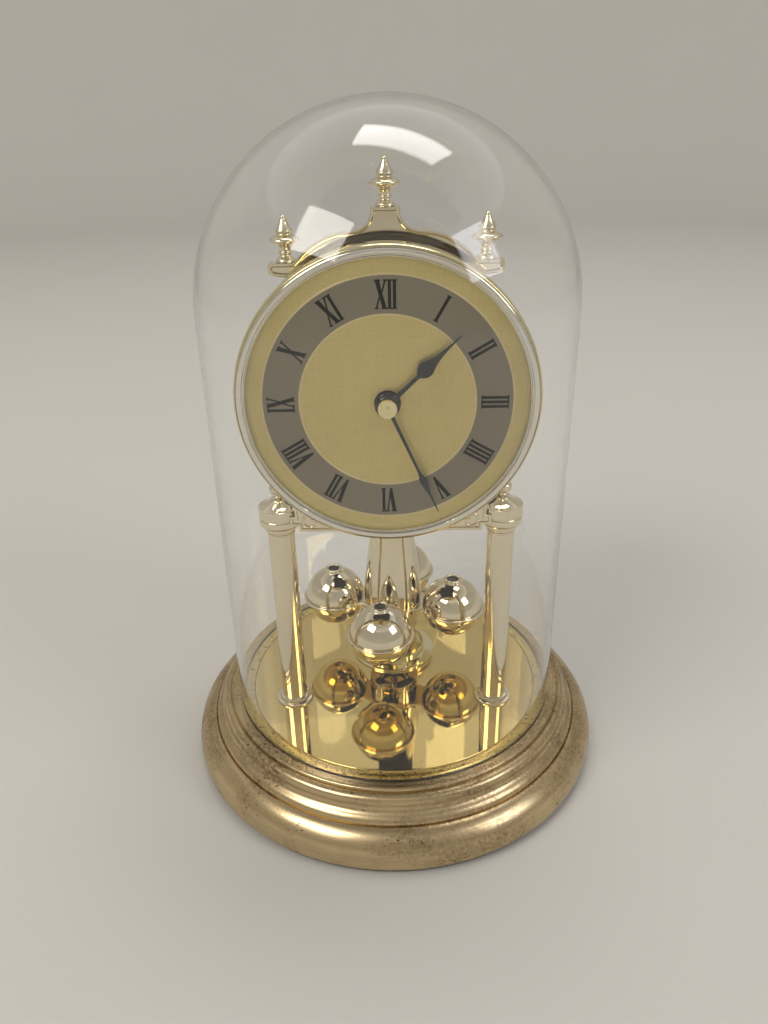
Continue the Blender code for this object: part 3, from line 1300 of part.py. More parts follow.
def make_cradle():
    """Lid of the drive housing with the battery's trough, and its two contacts."""
    half_length = BATTERY_LENGTH / 2 + 2 * GAP + CONTACT_THICKNESS
    outer = half_length + CRADLE_WALL
    front = BATTERY_Y - CRADLE_DEPTH / 2
    back = BATTERY_Y + CRADLE_DEPTH / 2
    lid = block(bmesh.new(), (-drive_half, housing_front_y, cradle_bottom),
                (drive_half, drive_back_y, cradle_bottom + CRADLE_WALL))
    cradle = add_object("battery_cradle", lid, "black_plastic", smooth=False)
    trough = block(bmesh.new(), (-outer, front, cradle_bottom + CRADLE_WALL - LAP),
                   (outer, back, cradle_bottom + CRADLE_RISE))
    combine(cradle, trough, "UNION")
    place = (0, BATTERY_Y, battery_height)
    room = rod(bmesh.new(), BATTERY_RADIUS + GAP, -half_length, half_length, BALL_STEPS, along_x,
               place)
    combine(cradle, room)
    above = block(bmesh.new(), (-half_length, BATTERY_Y - BATTERY_RADIUS - GAP, battery_height),
                  (half_length, BATTERY_Y + BATTERY_RADIUS + GAP, battery_height + CRADLE_RISE))
    combine(cradle, above)
    for side, word in ((-1, "left"), (1, "right")):
        ends = sorted((side * (half_length - GAP), side * (half_length - GAP - CONTACT_THICKNESS)))
        low = (ends[0], BATTERY_Y - CONTACT_WIDTH / 2, battery_height - CONTACT_WIDTH / 2)
        high = (ends[1], BATTERY_Y + CONTACT_WIDTH / 2, battery_height + CONTACT_WIDTH / 2)
        contact = block(bmesh.new(), low, high)
        add_object("battery_contact_" + word, contact, "steel", smooth=False)


def make_battery():
    """AA cell in its cradle."""
    start = -BATTERY_LENGTH / 2
    shoulder = BATTERY_LENGTH / 2 - BATTERY_NUB_LENGTH
    profile = [(0, start), (BATTERY_RADIUS, start), (BATTERY_RADIUS, shoulder)]
    profile += [(BATTERY_NUB_RADIUS, shoulder), (BATTERY_NUB_RADIUS, BATTERY_LENGTH / 2)]
    profile += [(0, BATTERY_LENGTH / 2)]
    shape = turned(bmesh.new(), profile, SLIM_STEPS, along_x)
    add_object("battery", shape, "battery", (0, BATTERY_Y, battery_height))


def main():
    """Build the clock."""
    clear_scene()
    make_felt()
    make_base_board()
    make_base_shell()
    make_disc()
    make_guide_cup()
    make_dome()
    make_column_set()
    make_tie_bolts()
    make_front_plate()
    make_finials()
    make_dial_group()
    make_hands()
    make_movement_case()
    make_rear_plate()
    make_wheels()
    make_setting_knob()
    make_motor()
    pivot = add_pivot("pendulum_pivot", (0, PENDULUM_Y, 0))
    make_arms(pivot)
    make_balls(pivot)
    make_bell(pivot)
    make_hub(pivot)
    make_magnet(pivot)
    make_wire()
    make_drive_housing()
    make_drive_coil()
    make_clamp()
    make_cradle()
    make_battery()


main()
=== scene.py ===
import math

import bmesh
import bpy
from mathutils import Matrix, Vector


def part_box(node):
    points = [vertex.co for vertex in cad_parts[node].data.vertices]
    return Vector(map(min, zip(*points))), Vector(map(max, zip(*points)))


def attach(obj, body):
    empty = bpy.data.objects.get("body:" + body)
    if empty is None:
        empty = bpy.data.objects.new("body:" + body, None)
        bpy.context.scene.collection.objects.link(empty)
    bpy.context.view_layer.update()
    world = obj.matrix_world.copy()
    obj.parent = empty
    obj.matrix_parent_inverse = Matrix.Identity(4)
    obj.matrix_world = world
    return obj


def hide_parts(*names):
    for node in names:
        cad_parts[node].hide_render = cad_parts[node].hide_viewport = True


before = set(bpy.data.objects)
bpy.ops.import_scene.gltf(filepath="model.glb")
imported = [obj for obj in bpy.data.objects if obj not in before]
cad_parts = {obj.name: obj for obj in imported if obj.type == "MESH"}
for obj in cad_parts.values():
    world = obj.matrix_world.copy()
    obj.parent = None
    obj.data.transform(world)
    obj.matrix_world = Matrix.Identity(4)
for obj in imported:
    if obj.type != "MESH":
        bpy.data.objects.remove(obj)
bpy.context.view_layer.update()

bl_info = {
    "name": "Anniversary clock",
    "version": (1, 0, 0),
    "blender": (4, 5, 0),
    "location": "View3D > Sidebar > Clock",
    "description": "Models the visible pieces of a domed quartz clock over its packed solids",
    "category": "Object",
}

MM = 0.001
MERGE = 1e-6


def middle(node):
    """Return the centre of a solid's box."""
    low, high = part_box(node)
    return (low + high) / 2


DIAL_CENTRE = Vector((0, 0, middle("dial").z))
PENDULUM_AXIS = Vector((middle("pendulum_spindle").x, middle("pendulum_spindle").y, 0))
SIDES = ("left", "right")
BALL_NAMES = ("front", "right", "back", "left")

# Lengths in millimetres. The seating is how far a turned piece reaches into the one that it sits on
SEATING = 0.25
DOME_WALL = 1.2
PLATE_THICKNESS = 5.4
FINIAL_RADIUS = 4.4
FINIAL_FOOT = 0.60 * FINIAL_RADIUS
HUB_SEAT = 45.38
ARM_REACH, ARM_HALF_WIDTH = 23.2, 5.8
RING_RADIUS, CROSS_RADIUS = 12.35, 10.6
BALL_RADIUS, BALL_SEAM = 11.4, 0.66
CELL_RADIUS = 7.1
SCROLL_X, SCROLL_Z, SCROLL_RADIUS, SCROLL_WIRE = 25.9, 98.1, 2.15, 0.42

# Angles in degrees
PENDULUM_TURN = -11
HOUR_TURN, MINUTE_TURN = 46.2, 156.0
BEVEL_ANGLE, FLAT_ANGLE = 34, 1

# Faces round wide pieces, round the dial's and round slim ones
WIDE, DIAL, SLIM = 160, 128, 64

# The camera that took the photo, fitted to the rings of the base, the dial and the dome
CAMERA_PLACE = (0.0028724, -0.2444865, 0.2121168)
CAMERA_RIGHT = Vector((0.99974293, 0.012197, -0.01911312))
CAMERA_UP = Vector((0.0116953, 0.44476792, 0.89556949))
CAMERA_AHEAD = Vector((-0.01942416, 0.8955628, -0.44451093))
SENSOR_WIDTH, FOCAL_LENGTH = 36.0, 27.56

# Each lamp's name, place, width and height in metres, power in watts and colour
LAMPS = (("key", (-1.1, -1.0, 1.6), (1.0, 0.8), 14.0, "#fffaf2"),
         ("fill", (1.4, -0.8, 1.1), (0.7, 0.8), 6.5, "#f4f7ff"),
         ("top", (0.2, 0.5, 1.9), (1.1, 0.5), 8.0, "#fffdf8"))
LAMP_AIM = Vector((0, 0, 0.11))
SKY_LOW, SKY_HIGH, SKY_STRENGTH = "#efece7", "#8b8883", 1.2


# Sizes and colours


def linear(hex_colour):
    """Return the linear colour of an sRGB hex string."""
    channels = [int(hex_colour[i:i + 2], 16) / 255 for i in (1, 3, 5)]
    return [c / 12.92 if c <= 0.04045 else ((c + 0.055) / 1.055) ** 2.4 for c in channels] + [1.0]


def size(name, description, default):
    """Return a length property in metres."""
    return bpy.props.FloatProperty(name=name, description=description, default=default, min=0.0,
                                   precision=5, subtype="DISTANCE", unit="LENGTH")


def colour(name, description, default):
    """Return a colour property from an sRGB hex string."""
    return bpy.props.FloatVectorProperty(name=name, description=description, size=4, min=0.0, max=1.0,
                                         default=linear(default), subtype="COLOR")


class ClockSizes(bpy.types.PropertyGroup):
    """Sizes that the solids leave open"""

    steps: bpy.props.IntProperty(name="Turning steps", description="Faces round a turned piece",
                                 default=96, min=16, max=256)
    numeral_height: size("Numeral height", "Height of the hour numerals", 0.0076)
    numeral_radius: size("Numeral radius", "Radius of the circle through the numerals' middles", 0.0297)
    ring_inner: size("Chapter ring inside", "Inner radius of the chapter ring", 0.0245)
    ring_outer: size("Chapter ring outside", "Outer radius of the chapter ring", 0.0349)
    rim_width: size("Plate rim width", "Width of the raised rim on the front plate", 0.0008)
    rim_height: size("Plate rim height", "Height of the raised rim on the front plate", 0.0006)
    edge_round: size("Edge rounding", "Width of the rounding on moulded edges", 0.00025)


class ClockColours(bpy.types.PropertyGroup):
    """Colours of the finishes"""

    champagne: colour("Champagne plating", "Bright plating on the columns and finials", "#e6dcc3")
    silver: colour("Silver plating", "Bright plating on the bezel's band", "#e4e2da")
    gold: colour("Gold plating", "Bright plating on the balls' lower halves", "#e9dfb2")
    mirror: colour("Polished brass", "Mirror disc on the base", "#e6cd86")
    brass: colour("Spun brass", "Base shell where it is bright", "#d6c097")
    tarnish: colour("Brass tarnish", "Base shell where it has aged", "#877055")
    speck: colour("Brass specks", "Small dark spots on the base", "#4a381f")
    dial: colour("Dial gold", "Lacquered dial", "#ead793")
    border: colour("Border gold", "Pale lines at the chapter ring", "#f2e0ae")
    ring: colour("Chapter ring", "Tinted lacquer under the numerals", "#958c78")
    ink: colour("Numeral ink", "Printed numerals", "#08080b")
    hands: colour("Hand lacquer", "Lacquer on the hands", "#10141f")
    felt: colour("Felt", "Felt ring under the base", "#2f5a3c")
    board: colour("Fibreboard", "Board in the base", "#5b4833")
    black_plastic: colour("Black plastic", "Housing and movement", "#202022")
    white_plastic: colour("White plastic", "Wheels and motor", "#e6e3da")
    steel: colour("Steel", "Bolts, wire and springs", "#b9bcc0")
    copper: colour("Copper wire", "Coil", "#b4683a")
    circuit: colour("Circuit board", "Board in the movement", "#2c5b34")
    battery: colour("Battery jacket", "Jacket of the cell", "#8f9296")
    stage: colour("Floor", "Floor and backdrop", "#d1cfca")


# Finishes: each maker adds its pattern to a tree and returns the shader's inputs


def add_node(tree, kind, inputs=None, **settings):
    """Add a node with its settings; an input given a node is linked to its first live output."""
    node = tree.nodes.new(kind)
    for name, value in settings.items():
        setattr(node, name, value)
    for name, value in (inputs or {}).items():
        if isinstance(value, bpy.types.Node):
            value = next(socket for socket in value.outputs if socket.enabled)
        if isinstance(value, bpy.types.NodeSocket):
            tree.links.new(value, node.inputs[name])
        else:
            node.inputs[name].default_value = value
    return node


def finish_of(maker):
    """Return a finish, made once and named after its maker."""
    made = bpy.data.materials.get(maker.__name__)
    if made is None:
        made = bpy.data.materials.new(maker.__name__)
        made.use_nodes = True
        tree = made.node_tree
        tree.nodes.clear()
        place = add_node(tree, "ShaderNodeTexCoord").outputs["Object"]
        inputs = maker(tree, place, bpy.context.scene.clock_colours)
        shader = add_node(tree, "ShaderNodeBsdfPrincipled", inputs)
        add_node(tree, "ShaderNodeOutputMaterial", {"Surface": shader})
    return made


def grain(millimetres):
    """Return the scale at which a pattern's grain has this size."""
    return 1000 / millimetres


def shade(tint, *shares):
    """Return a colour with its channels scaled by one share or by three."""
    shares = shares * 3 if len(shares) == 1 else shares
    return [min(1.0, c * share) for c, share in zip(tint[:3], shares)] + [1.0]


def patterned(tree, place, inputs, mottle=None, gloss=None, relief=None):
    """Add a finish's colour, gloss and relief to its inputs, each driven by a noise of its own.

    Each begins with its noise's grain in millimetres and its detail. A mottle goes on with the part of
    the noise that counts, the most that it brings of the second colour, and both colours. A gloss goes
    on with that part and the roughness at its ends, and a relief with its depth and its strength.
    """
    if mottle:
        across, detail, low, high, most, first, second = mottle
        noise = add_node(tree, "ShaderNodeTexNoise", {"Vector": place, "Scale": grain(across),
                                                      "Detail": detail})
        share = add_node(tree, "ShaderNodeMapRange", {"Value": noise, "From Min": low, "From Max": high,
                                                      "To Max": most})
        inputs["Base Color"] = add_node(tree, "ShaderNodeMix", {0: share, 6: first, 7: second},
                                        data_type="RGBA")
    if gloss:
        across, detail, low, high, start, end = gloss
        noise = add_node(tree, "ShaderNodeTexNoise", {"Vector": place, "Scale": grain(across),
                                                      "Detail": detail})
        inputs["Roughness"] = add_node(tree, "ShaderNodeMapRange", {
            "Value": noise, "From Min": low, "From Max": high, "To Min": start, "To Max": end})
    if relief:
        across, detail, depth, strength = relief
        noise = add_node(tree, "ShaderNodeTexNoise", {"Vector": place, "Scale": grain(across),
                                                      "Detail": detail})
        inputs["Normal"] = add_node(tree, "ShaderNodeBump", {"Height": noise, "Distance": depth * MM,
                                                             "Strength": strength})
    return inputs


def bright_plating(tree, place, tint, low, high):
    """Bright plating on a moulding: it mirrors sharply, and the mirror wanders with the sink marks."""
    # Sink marks about 9 mm across and a few hundredths deep
    return patterned(tree, place, {"Metallic": 1.0},
                     mottle=(22, 2.0, 0.35, 0.7, 1.0, tint, shade(tint, 1, 0.97, 0.89)),
                     gloss=(3, 4.0, 0.3, 0.8, low, high), relief=(9, 1.0, 0.05, 0.5))


def plated_abs_champagne(tree, place, colours):
    """Pale gold plating of the columns, the plate and the pendulum."""
    return bright_plating(tree, place, colours.champagne, 0.035, 0.10)


def plated_abs_silver(tree, place, colours):
    """Near-white plating of the bezel's flat band."""
    return bright_plating(tree, place, colours.silver, 0.05, 0.12)


def plated_abs_gold(tree, place, colours):
    """Deeper gold plating of the balls' lower halves, the bezel's flange, the cup, drum and cap."""
    return bright_plating(tree, place, colours.gold, 0.05, 0.13)


def brass_spun_lacquered(tree, place, colours):
    """Spun brass under old lacquer: satin and streaked round the axis, with tarnish and specks."""
    parts = add_node(tree, "ShaderNodeSeparateXYZ", {0: place})
    flat = add_node(tree, "ShaderNodeCombineXYZ", {0: parts.outputs[0], 1: parts.outputs[1]})
    radius = add_node(tree, "ShaderNodeVectorMath", {0: flat}, operation="LENGTH")
    angle = add_node(tree, "ShaderNodeMath", {0: parts.outputs[1], 1: parts.outputs[0]},
                     operation="ARCTAN2")
    short = add_node(tree, "ShaderNodeMath", {0: angle, 1: 0.004}, operation="MULTIPLY")
    drawn = add_node(tree, "ShaderNodeCombineXYZ", {0: radius, 1: short, 2: parts.outputs[2]})
    noises, shares = {}, {}
    for name, way, across, detail, low, high, start, end in (
            # Tool lines 0.5 mm apart, which is coarser than real ones so that they show
            ("lines", drawn, 0.5, 3.0, 0.35, 0.75, 0.0, 0.3),
            ("patches", place, 30, 5.0, 0.44, 0.66, 0.0, 1.0),
            ("fine", place, 1.3, 5.0, 0.35, 0.72, 0.15, 1.0),
            # Specks of 0.4 to 1 mm, in groups, where the lacquer has let go
            ("dots", place, 0.9, 2.0, 0.63, 0.70, 0.0, 1.0),
            ("areas", place, 15, 2.0, 0.45, 0.62, 0.0, 1.0)):
        noises[name] = add_node(tree, "ShaderNodeTexNoise", {"Vector": way, "Scale": grain(across),
                                                             "Detail": detail})
        shares[name] = add_node(tree, "ShaderNodeMapRange", {
            "Value": noises[name], "From Min": low, "From Max": high, "To Min": start, "To Max": end})
    worn = add_node(tree, "ShaderNodeMath", {0: shares["patches"], 1: shares["fine"]},
                    operation="MULTIPLY")
    aged = add_node(tree, "ShaderNodeMath", {0: worn, 1: shares["lines"]}, operation="ADD",
                    use_clamp=True)
    body = add_node(tree, "ShaderNodeMix", {0: aged, 6: colours.brass, 7: colours.tarnish},
                    data_type="RGBA")
    spots = add_node(tree, "ShaderNodeMath", {0: shares["dots"], 1: shares["areas"]},
                     operation="MULTIPLY")
    spotted = add_node(tree, "ShaderNodeMix", {0: spots, 6: body, 7: colours.speck}, data_type="RGBA")
    rough = add_node(tree, "ShaderNodeMapRange", {"Value": aged, "To Min": 0.22, "To Max": 0.42})
    mottled = add_node(tree, "ShaderNodeBump", {"Height": noises["fine"], "Distance": 0.01 * MM,
                                                "Strength": 0.35})
    bump = add_node(tree, "ShaderNodeBump", {"Height": noises["lines"], "Distance": 0.012 * MM,
                                             "Strength": 0.45, "Normal": mottled})
    return {"Base Color": spotted, "Roughness": rough, "Normal": bump, "Metallic": 1.0}


def buffed(tree, place, colours, stretch, low, high, first_dot):
    """Buffed brass: hairlines in the gloss, and dark specks where the dots' noise passes a value."""
    longer = add_node(tree, "ShaderNodeMapping", {"Vector": place, "Scale": (1.0, stretch, 1.0)})
    made = patterned(tree, longer, {"Metallic": 1.0}, gloss=(0.4, 3.0, 0.3, 0.8, low, high))
    worn = shade(colours.mirror, 0.97, 0.94, 0.88)
    made = patterned(tree, place, made, mottle=(40, 2.0, 0.35, 0.7, 1.0, colours.mirror, worn),
                     relief=(16, 1.0, 0.03, 0.3))
    return patterned(tree, place, made, mottle=(1.1, 1.0, first_dot, first_dot + 0.04, 0.7,
                                                made["Base Color"], colours.speck))


def brass_buffed(tree, place, colours):
    """Disc: a near mirror with few specks."""
    return buffed(tree, place, colours, 0.04, 0.02, 0.08, 0.74)


def brass_buffed_worn(tree, place, colours):
    """Ring that the dome sits round: worn dull by the glass, with many specks."""
    return buffed(tree, place, colours, 1.0, 0.2, 0.34, 0.62)


def glass_blown(tree, place, colours):
    """Thin blown soda glass: clear, with faint waves that bend its highlights."""
    return patterned(tree, place, {"Base Color": linear("#ffffff"), "Roughness": 0.0, "IOR": 1.47,
                                   "Specular IOR Level": 0.12, "Transmission Weight": 1.0},
                     relief=(38, 1.0, 0.06, 0.3))


def linen_grain(tree, place, tint):
    """Linen-grained aluminium under lacquer: matt, with a soft sheen."""
    # Threads 0.35 mm apart both ways, a little coarser than real ones so that they show
    threads = []
    for stretch in ((0.06, 1.0, 1.0), (1.0, 1.0, 0.06)):
        longer = add_node(tree, "ShaderNodeMapping", {"Vector": place, "Scale": stretch})
        threads.append(add_node(tree, "ShaderNodeTexNoise", {"Vector": longer, "Scale": grain(0.35),
                                                             "Detail": 2.0}))
    weave = add_node(tree, "ShaderNodeMath", dict(enumerate(threads)), operation="ADD")
    clouds = add_node(tree, "ShaderNodeTexNoise", {"Vector": place, "Scale": grain(18), "Detail": 2.0})
    cloud, thread, rough = (
        add_node(tree, "ShaderNodeMapRange", {"Value": value, "From Min": low, "From Max": high,
                                              "To Min": start, "To Max": end})
        for value, low, high, start, end in ((clouds, 0.3, 0.7, 0.0, 0.35), (weave, 0.8, 1.2, 0.0, 0.35),
                                             (weave, 0.8, 1.2, 0.36, 0.48)))
    share = add_node(tree, "ShaderNodeMath", {0: cloud, 1: thread}, operation="ADD", use_clamp=True)
    body = add_node(tree, "ShaderNodeMix", {0: share, 6: tint, 7: shade(tint, 0.86, 0.84, 0.76)},
                    data_type="RGBA")
    bump = add_node(tree, "ShaderNodeBump", {"Height": weave, "Distance": 0.01 * MM, "Strength": 0.25})
    return {"Base Color": body, "Roughness": rough, "Normal": bump, "Metallic": 0.6}


def aluminium_linen_gold(tree, place, colours):
    """Gold lacquer of the dial."""
    return linen_grain(tree, place, colours.dial)


def aluminium_linen_pale(tree, place, colours):
    """Paler lacquer of the lines on both sides of the chapter ring."""
    return linen_grain(tree, place, colours.border)


def lacquer_smoked(tree, place, colours):
    """Tinted lacquer of the chapter ring: smooth, greyer than the dial and a little glossier."""
    return patterned(tree, place, {"Metallic": 0.4},
                     mottle=(6, 4.0, 0.3, 0.75, 0.45, colours.ring, shade(colours.ring, 0.82)),
                     gloss=(0.5, 3.0, 0.3, 0.7, 0.30, 0.42))


def ink_pad_printed(tree, place, colours):
    """Pad-printed ink: near black and satin, with a slightly uneven film."""
    return patterned(tree, place, {"Roughness": 0.6, "Specular IOR Level": 0.05},
                     mottle=(0.8, 3.0, 0.3, 0.8, 0.5, colours.ink, shade(colours.ink, 1.9)))


def steel_lacquered(tree, place, colours):
    """Blue-black lacquer on stamped hands: smooth and glossy, with fine dust that dulls it."""
    return patterned(tree, place, {"Metallic": 0.3, "Coat Weight": 0.6, "Coat Roughness": 0.08},
                     mottle=(0.7, 3.0, 0.58, 0.8, 0.2, colours.hands, shade(colours.hands, 2.4)),
                     gloss=(0.7, 3.0, 0.58, 0.8, 0.24, 0.4))


def felt_wool_pressed(tree, place, colours):
    """Pressed wool felt: matt and hairy, with tufts about 1 mm across."""
    tufts = add_node(tree, "ShaderNodeTexNoise", {"Vector": place, "Scale": grain(1.1), "Detail": 5.0,
                                                  "Roughness": 0.7})
    share = add_node(tree, "ShaderNodeMapRange", {"Value": tufts, "From Min": 0.3, "From Max": 0.7})
    body = add_node(tree, "ShaderNodeMix", {0: share, 6: shade(colours.felt, 0.6), 7: colours.felt},
                    data_type="RGBA")
    bump = add_node(tree, "ShaderNodeBump", {"Height": tufts, "Distance": 0.2 * MM, "Strength": 0.8})
    return {"Base Color": body, "Roughness": 0.95, "Normal": bump, "Sheen Weight": 0.4}


def fibreboard_pressed(tree, place, colours):
    """Pressed fibreboard: dark brown, with short fibres lying flat."""
    longer = add_node(tree, "ShaderNodeMapping", {"Vector": place, "Scale": (0.2, 1.0, 1.0)})
    return patterned(tree, longer, {"Roughness": 0.85},
                     mottle=(0.6, 5.0, 0.3, 0.7, 1.0, shade(colours.board, 0.65), colours.board),
                     relief=(0.6, 5.0, 0.08, 0.5))


def moulded_plastic(tree, place, tint, texture, low, high):
    """Injection-moulded plastic: its texture as relief, and slow changes of gloss along the flow."""
    return patterned(tree, place, {"IOR": 1.52},
                     mottle=(texture, 3.0, 0.35, 0.8, 0.5, tint, shade(tint, 1.4)),
                     gloss=(12, 2.0, 0.3, 0.7, low, high), relief=(texture, 3.0, 0.02, 0.4))


def abs_grained_black(tree, place, colours):
    """Black ABS with a spark-eroded grain, on the housing, the cradle and the movement."""
    return moulded_plastic(tree, place, colours.black_plastic, 0.35, 0.40, 0.52)


def acetal_white(tree, place, colours):
    """Smooth white acetal of the wheels and the motor."""
    return moulded_plastic(tree, place, colours.white_plastic, 1.5, 0.30, 0.42)


def drawn_metal(tree, place, tint, stretch, low, high):
    """Metal with fine lines along one way, from drawing or cutting."""
    longer = add_node(tree, "ShaderNodeMapping", {"Vector": place, "Scale": stretch})
    return patterned(tree, longer, {"Metallic": 1.0},
                     mottle=(0.25, 3.0, 0.3, 0.7, 1.0, shade(tint, 0.8), tint),
                     gloss=(0.25, 3.0, 0.3, 0.7, low, high), relief=(0.25, 3.0, 0.008, 0.3))


def steel_drawn(tree, place, colours):
    """Drawn steel with lines along its length."""
    return drawn_metal(tree, place, colours.steel, (1.0, 1.0, 0.03), 0.18, 0.32)


def brass_cut(tree, place, colours):
    """Brass of the centre wheel, with cutter lines."""
    return drawn_metal(tree, place, colours.brass, (1.0, 0.05, 0.05), 0.18, 0.30)


def copper_wire_enamelled(tree, place, colours):
    """Enamelled copper wire, wound: ridges under glossy enamel, with painted shade in the grooves between
    the turns.
    """
    # Ridges 1.9 mm apart, coarser than real wire so that they show; a wave repeats at tau / 20
    ridge = 1.885 * 20 / math.tau
    wound = add_node(tree, "ShaderNodeTexWave", {"Vector": place, "Scale": grain(ridge),
                                                 "Distortion": 0.4}, bands_direction="Z").outputs["Fac"]
    # The colour darkens to half in the wave's troughs: painted shade in the grooves between the turns
    body = add_node(tree, "ShaderNodeMix", {0: wound, 6: shade(colours.copper, 0.5), 7: colours.copper},
                    data_type="RGBA")
    bump = add_node(tree, "ShaderNodeBump", {"Height": wound, "Distance": 0.1 * MM, "Strength": 0.7})
    return {"Base Color": body, "Roughness": 0.28, "Normal": bump, "Metallic": 1.0, "Coat Weight": 0.5}


def laminate_green_resist(tree, place, colours):
    """Glass-fibre laminate under green resist: satin, with a faint weave."""
    longer = add_node(tree, "ShaderNodeMapping", {"Vector": place, "Scale": (0.16, 1.0, 1.0)})
    return patterned(tree, longer, {"Roughness": 0.38},
                     mottle=(0.6, 2.0, 0.3, 0.7, 1.0, shade(colours.circuit, 0.6), colours.circuit))


def film_printed_jacket(tree, place, colours):
    """Printed shrink jacket of the cell: satin grey with a black band, and no words."""
    parts = add_node(tree, "ShaderNodeSeparateXYZ", {0: place})
    # The band begins 9.5 mm along from the middle, with an edge 0.2 mm wide
    band = add_node(tree, "ShaderNodeMapRange", {"Value": parts.outputs[0], "From Min": 9.5 * MM,
                                                 "From Max": 9.7 * MM})
    clouds = add_node(tree, "ShaderNodeTexNoise", {"Vector": place, "Scale": grain(5), "Detail": 2.0})
    film = add_node(tree, "ShaderNodeMapRange", {"Value": clouds, "From Min": 0.3, "From Max": 0.7,
                                                 "To Max": 0.25})
    share = add_node(tree, "ShaderNodeMath", {0: band, 1: film}, operation="ADD", use_clamp=True)
    body = add_node(tree, "ShaderNodeMix", {0: share, 6: colours.battery,
                                            7: shade(colours.battery, 0.12)}, data_type="RGBA")
    rough = add_node(tree, "ShaderNodeMapRange", {"Value": film, "From Max": 0.25, "To Min": 0.26,
                                                  "To Max": 0.36})
    return {"Base Color": body, "Roughness": rough, "Metallic": 0.5, "Coat Weight": 0.4}


def paper_background(tree, place, colours):
    """Matt background paper, pale and nearly even."""
    return patterned(tree, place, {"Roughness": 0.85},
                     mottle=(300, 2.0, 0.0, 1.0, 1.0, colours.stage, shade(colours.stage, 0.97)))


# Modelling


def curve_through(points, steps=5):
    """Return points on a smooth curve through the given ones."""
    ends = [points[0]] + list(points) + [points[-1]]
    made = []
    for before, start, end, after in zip(ends, ends[1:], ends[2:], ends[3:]):
        for step in range(steps):
            t = step / steps
            made.append(tuple(
                0.5 * (2 * b + (c - a) * t + (2 * a - 5 * b + 4 * c - d) * t ** 2
                       + (3 * b - a - 3 * c + d) * t ** 3)
                for a, b, c, d in zip(before, start, end, after)))
    return made + [tuple(points[-1])]


def arc(centre, radius, start, end, steps=8, height=None):
    """Return points on an arc in degrees; with a height it is part of an ellipse."""
    made = []
    for step in range(steps + 1):
        angle = math.radians(start + (end - start) * step / steps)
        made.append((centre[0] + radius * math.cos(angle),
                     centre[1] + (height or radius) * math.sin(angle)))
    return made


def lifted(base, profile):
    """Return a profile of (radius, height) with its heights counted from a base."""
    return [(radius, base + height) for radius, height in profile]


def select_only(*pieces):
    """Select some objects and make the first one active."""
    bpy.ops.object.select_all(action="DESELECT")
    for piece in pieces:
        piece.select_set(True)
    bpy.context.view_layer.objects.active = pieces[0]


def trace(name, points):
    """Trace a line: a plane merged to one vertex, which is then extruded from point to point."""
    bpy.ops.object.select_all(action="DESELECT")
    bpy.ops.mesh.primitive_plane_add(size=MM, location=points[0])
    piece = bpy.context.object
    piece.name = piece.data.name = name
    bpy.ops.object.mode_set(mode="EDIT")
    bpy.ops.mesh.merge(type="CENTER")
    for before, after in zip(points, points[1:]):
        step = Vector(after) - Vector(before)
        bpy.ops.mesh.extrude_vertices_move(TRANSFORM_OT_translate={"value": step})
    bpy.ops.mesh.select_all(action="SELECT")
    return piece


def tidy_normals():
    """Merge doubles and turn the faces of the mesh in edit mode outwards."""
    bpy.ops.mesh.select_all(action="SELECT")
    bpy.ops.mesh.remove_doubles(threshold=MERGE)
    bpy.ops.mesh.normals_make_consistent(inside=False)


def turned(name, profile, centre=(0, 0, 0), axis="Z", steps=None, closed=True):
    """Spin a traced profile of (radius, height) millimetres about an axis through a centre."""
    centre = Vector(centre)
    along = Vector([float(letter == axis) for letter in "XYZ"])
    out = Vector((0, 1, 0)) if axis == "X" else Vector((1, 0, 0))
    points = [centre + out * r * MM + along * h * MM for r, h in profile]
    if closed:
        points.append(points[0])
    piece = trace(name, points)
    bpy.ops.mesh.remove_doubles(threshold=MERGE / 10)
    bpy.ops.mesh.spin(steps=steps or bpy.context.scene.clock_sizes.steps, angle=math.tau,
                      center=centre, axis=along, use_auto_merge=True)
    tidy_normals()
    bpy.ops.mesh.delete_loose(use_verts=True, use_edges=True, use_faces=False)
    bpy.ops.object.mode_set(mode="OBJECT")
    return piece


def select_front():
    """Select the faces of the mesh in edit mode that look to the front."""
    bpy.ops.mesh.select_all(action="DESELECT")
    mesh = bmesh.from_edit_mesh(bpy.context.object.data)
    for face in mesh.faces:
        if face.normal.y < -0.9:
            face.select_set(True)
    mesh.select_flush(True)
    bmesh.update_edit_mesh(bpy.context.object.data)


def extruded(name, points, depth):
    """Trace a closed outline, fill it and extrude it by a depth."""
    piece = trace(name, points + [points[0]])
    bpy.ops.mesh.remove_doubles(threshold=MERGE)
    bpy.ops.mesh.edge_face_add()
    bpy.ops.mesh.extrude_region_move(TRANSFORM_OT_translate={"value": depth})
    tidy_normals()
    return piece


def prism(name, outline, front, back, centre=DIAL_CENTRE):
    """Extrude an outline of (x, z) millimetres from front to back."""
    points = [centre + Vector((x * MM, front, z * MM)) for x, z in outline]
    return extruded(name, points, (0, back - front, 0))


def join(pieces):
    """Join some pieces into the first one."""
    select_only(*pieces)
    bpy.ops.object.join()
    return bpy.context.object


def copied(piece, name, place=(0, 0, 0), turn=0.0, about="Z"):
    """Copy a piece with its own mesh, turn it about an axis through the origin and move it."""
    select_only(piece)
    bpy.ops.object.duplicate(linked=False)
    made = bpy.context.object
    made.name = made.data.name = name
    made.matrix_world = Matrix.Translation(place) @ Matrix.Rotation(turn, 4, about) @ piece.matrix_world
    return made


def settle(piece):
    """Put a piece's place into its mesh, so that its object sits at the origin."""
    select_only(piece)
    bpy.ops.object.transform_apply(location=True, rotation=True, scale=True)


def mend(piece, flatten=False):
    """Tidy a piece's normals and, if asked, dissolve the edges inside its flat faces."""
    select_only(piece)
    bpy.ops.object.mode_set(mode="EDIT")
    tidy_normals()
    if flatten:
        bpy.ops.mesh.dissolve_limited(angle_limit=math.radians(FLAT_ANGLE))
    bpy.ops.object.mode_set(mode="OBJECT")


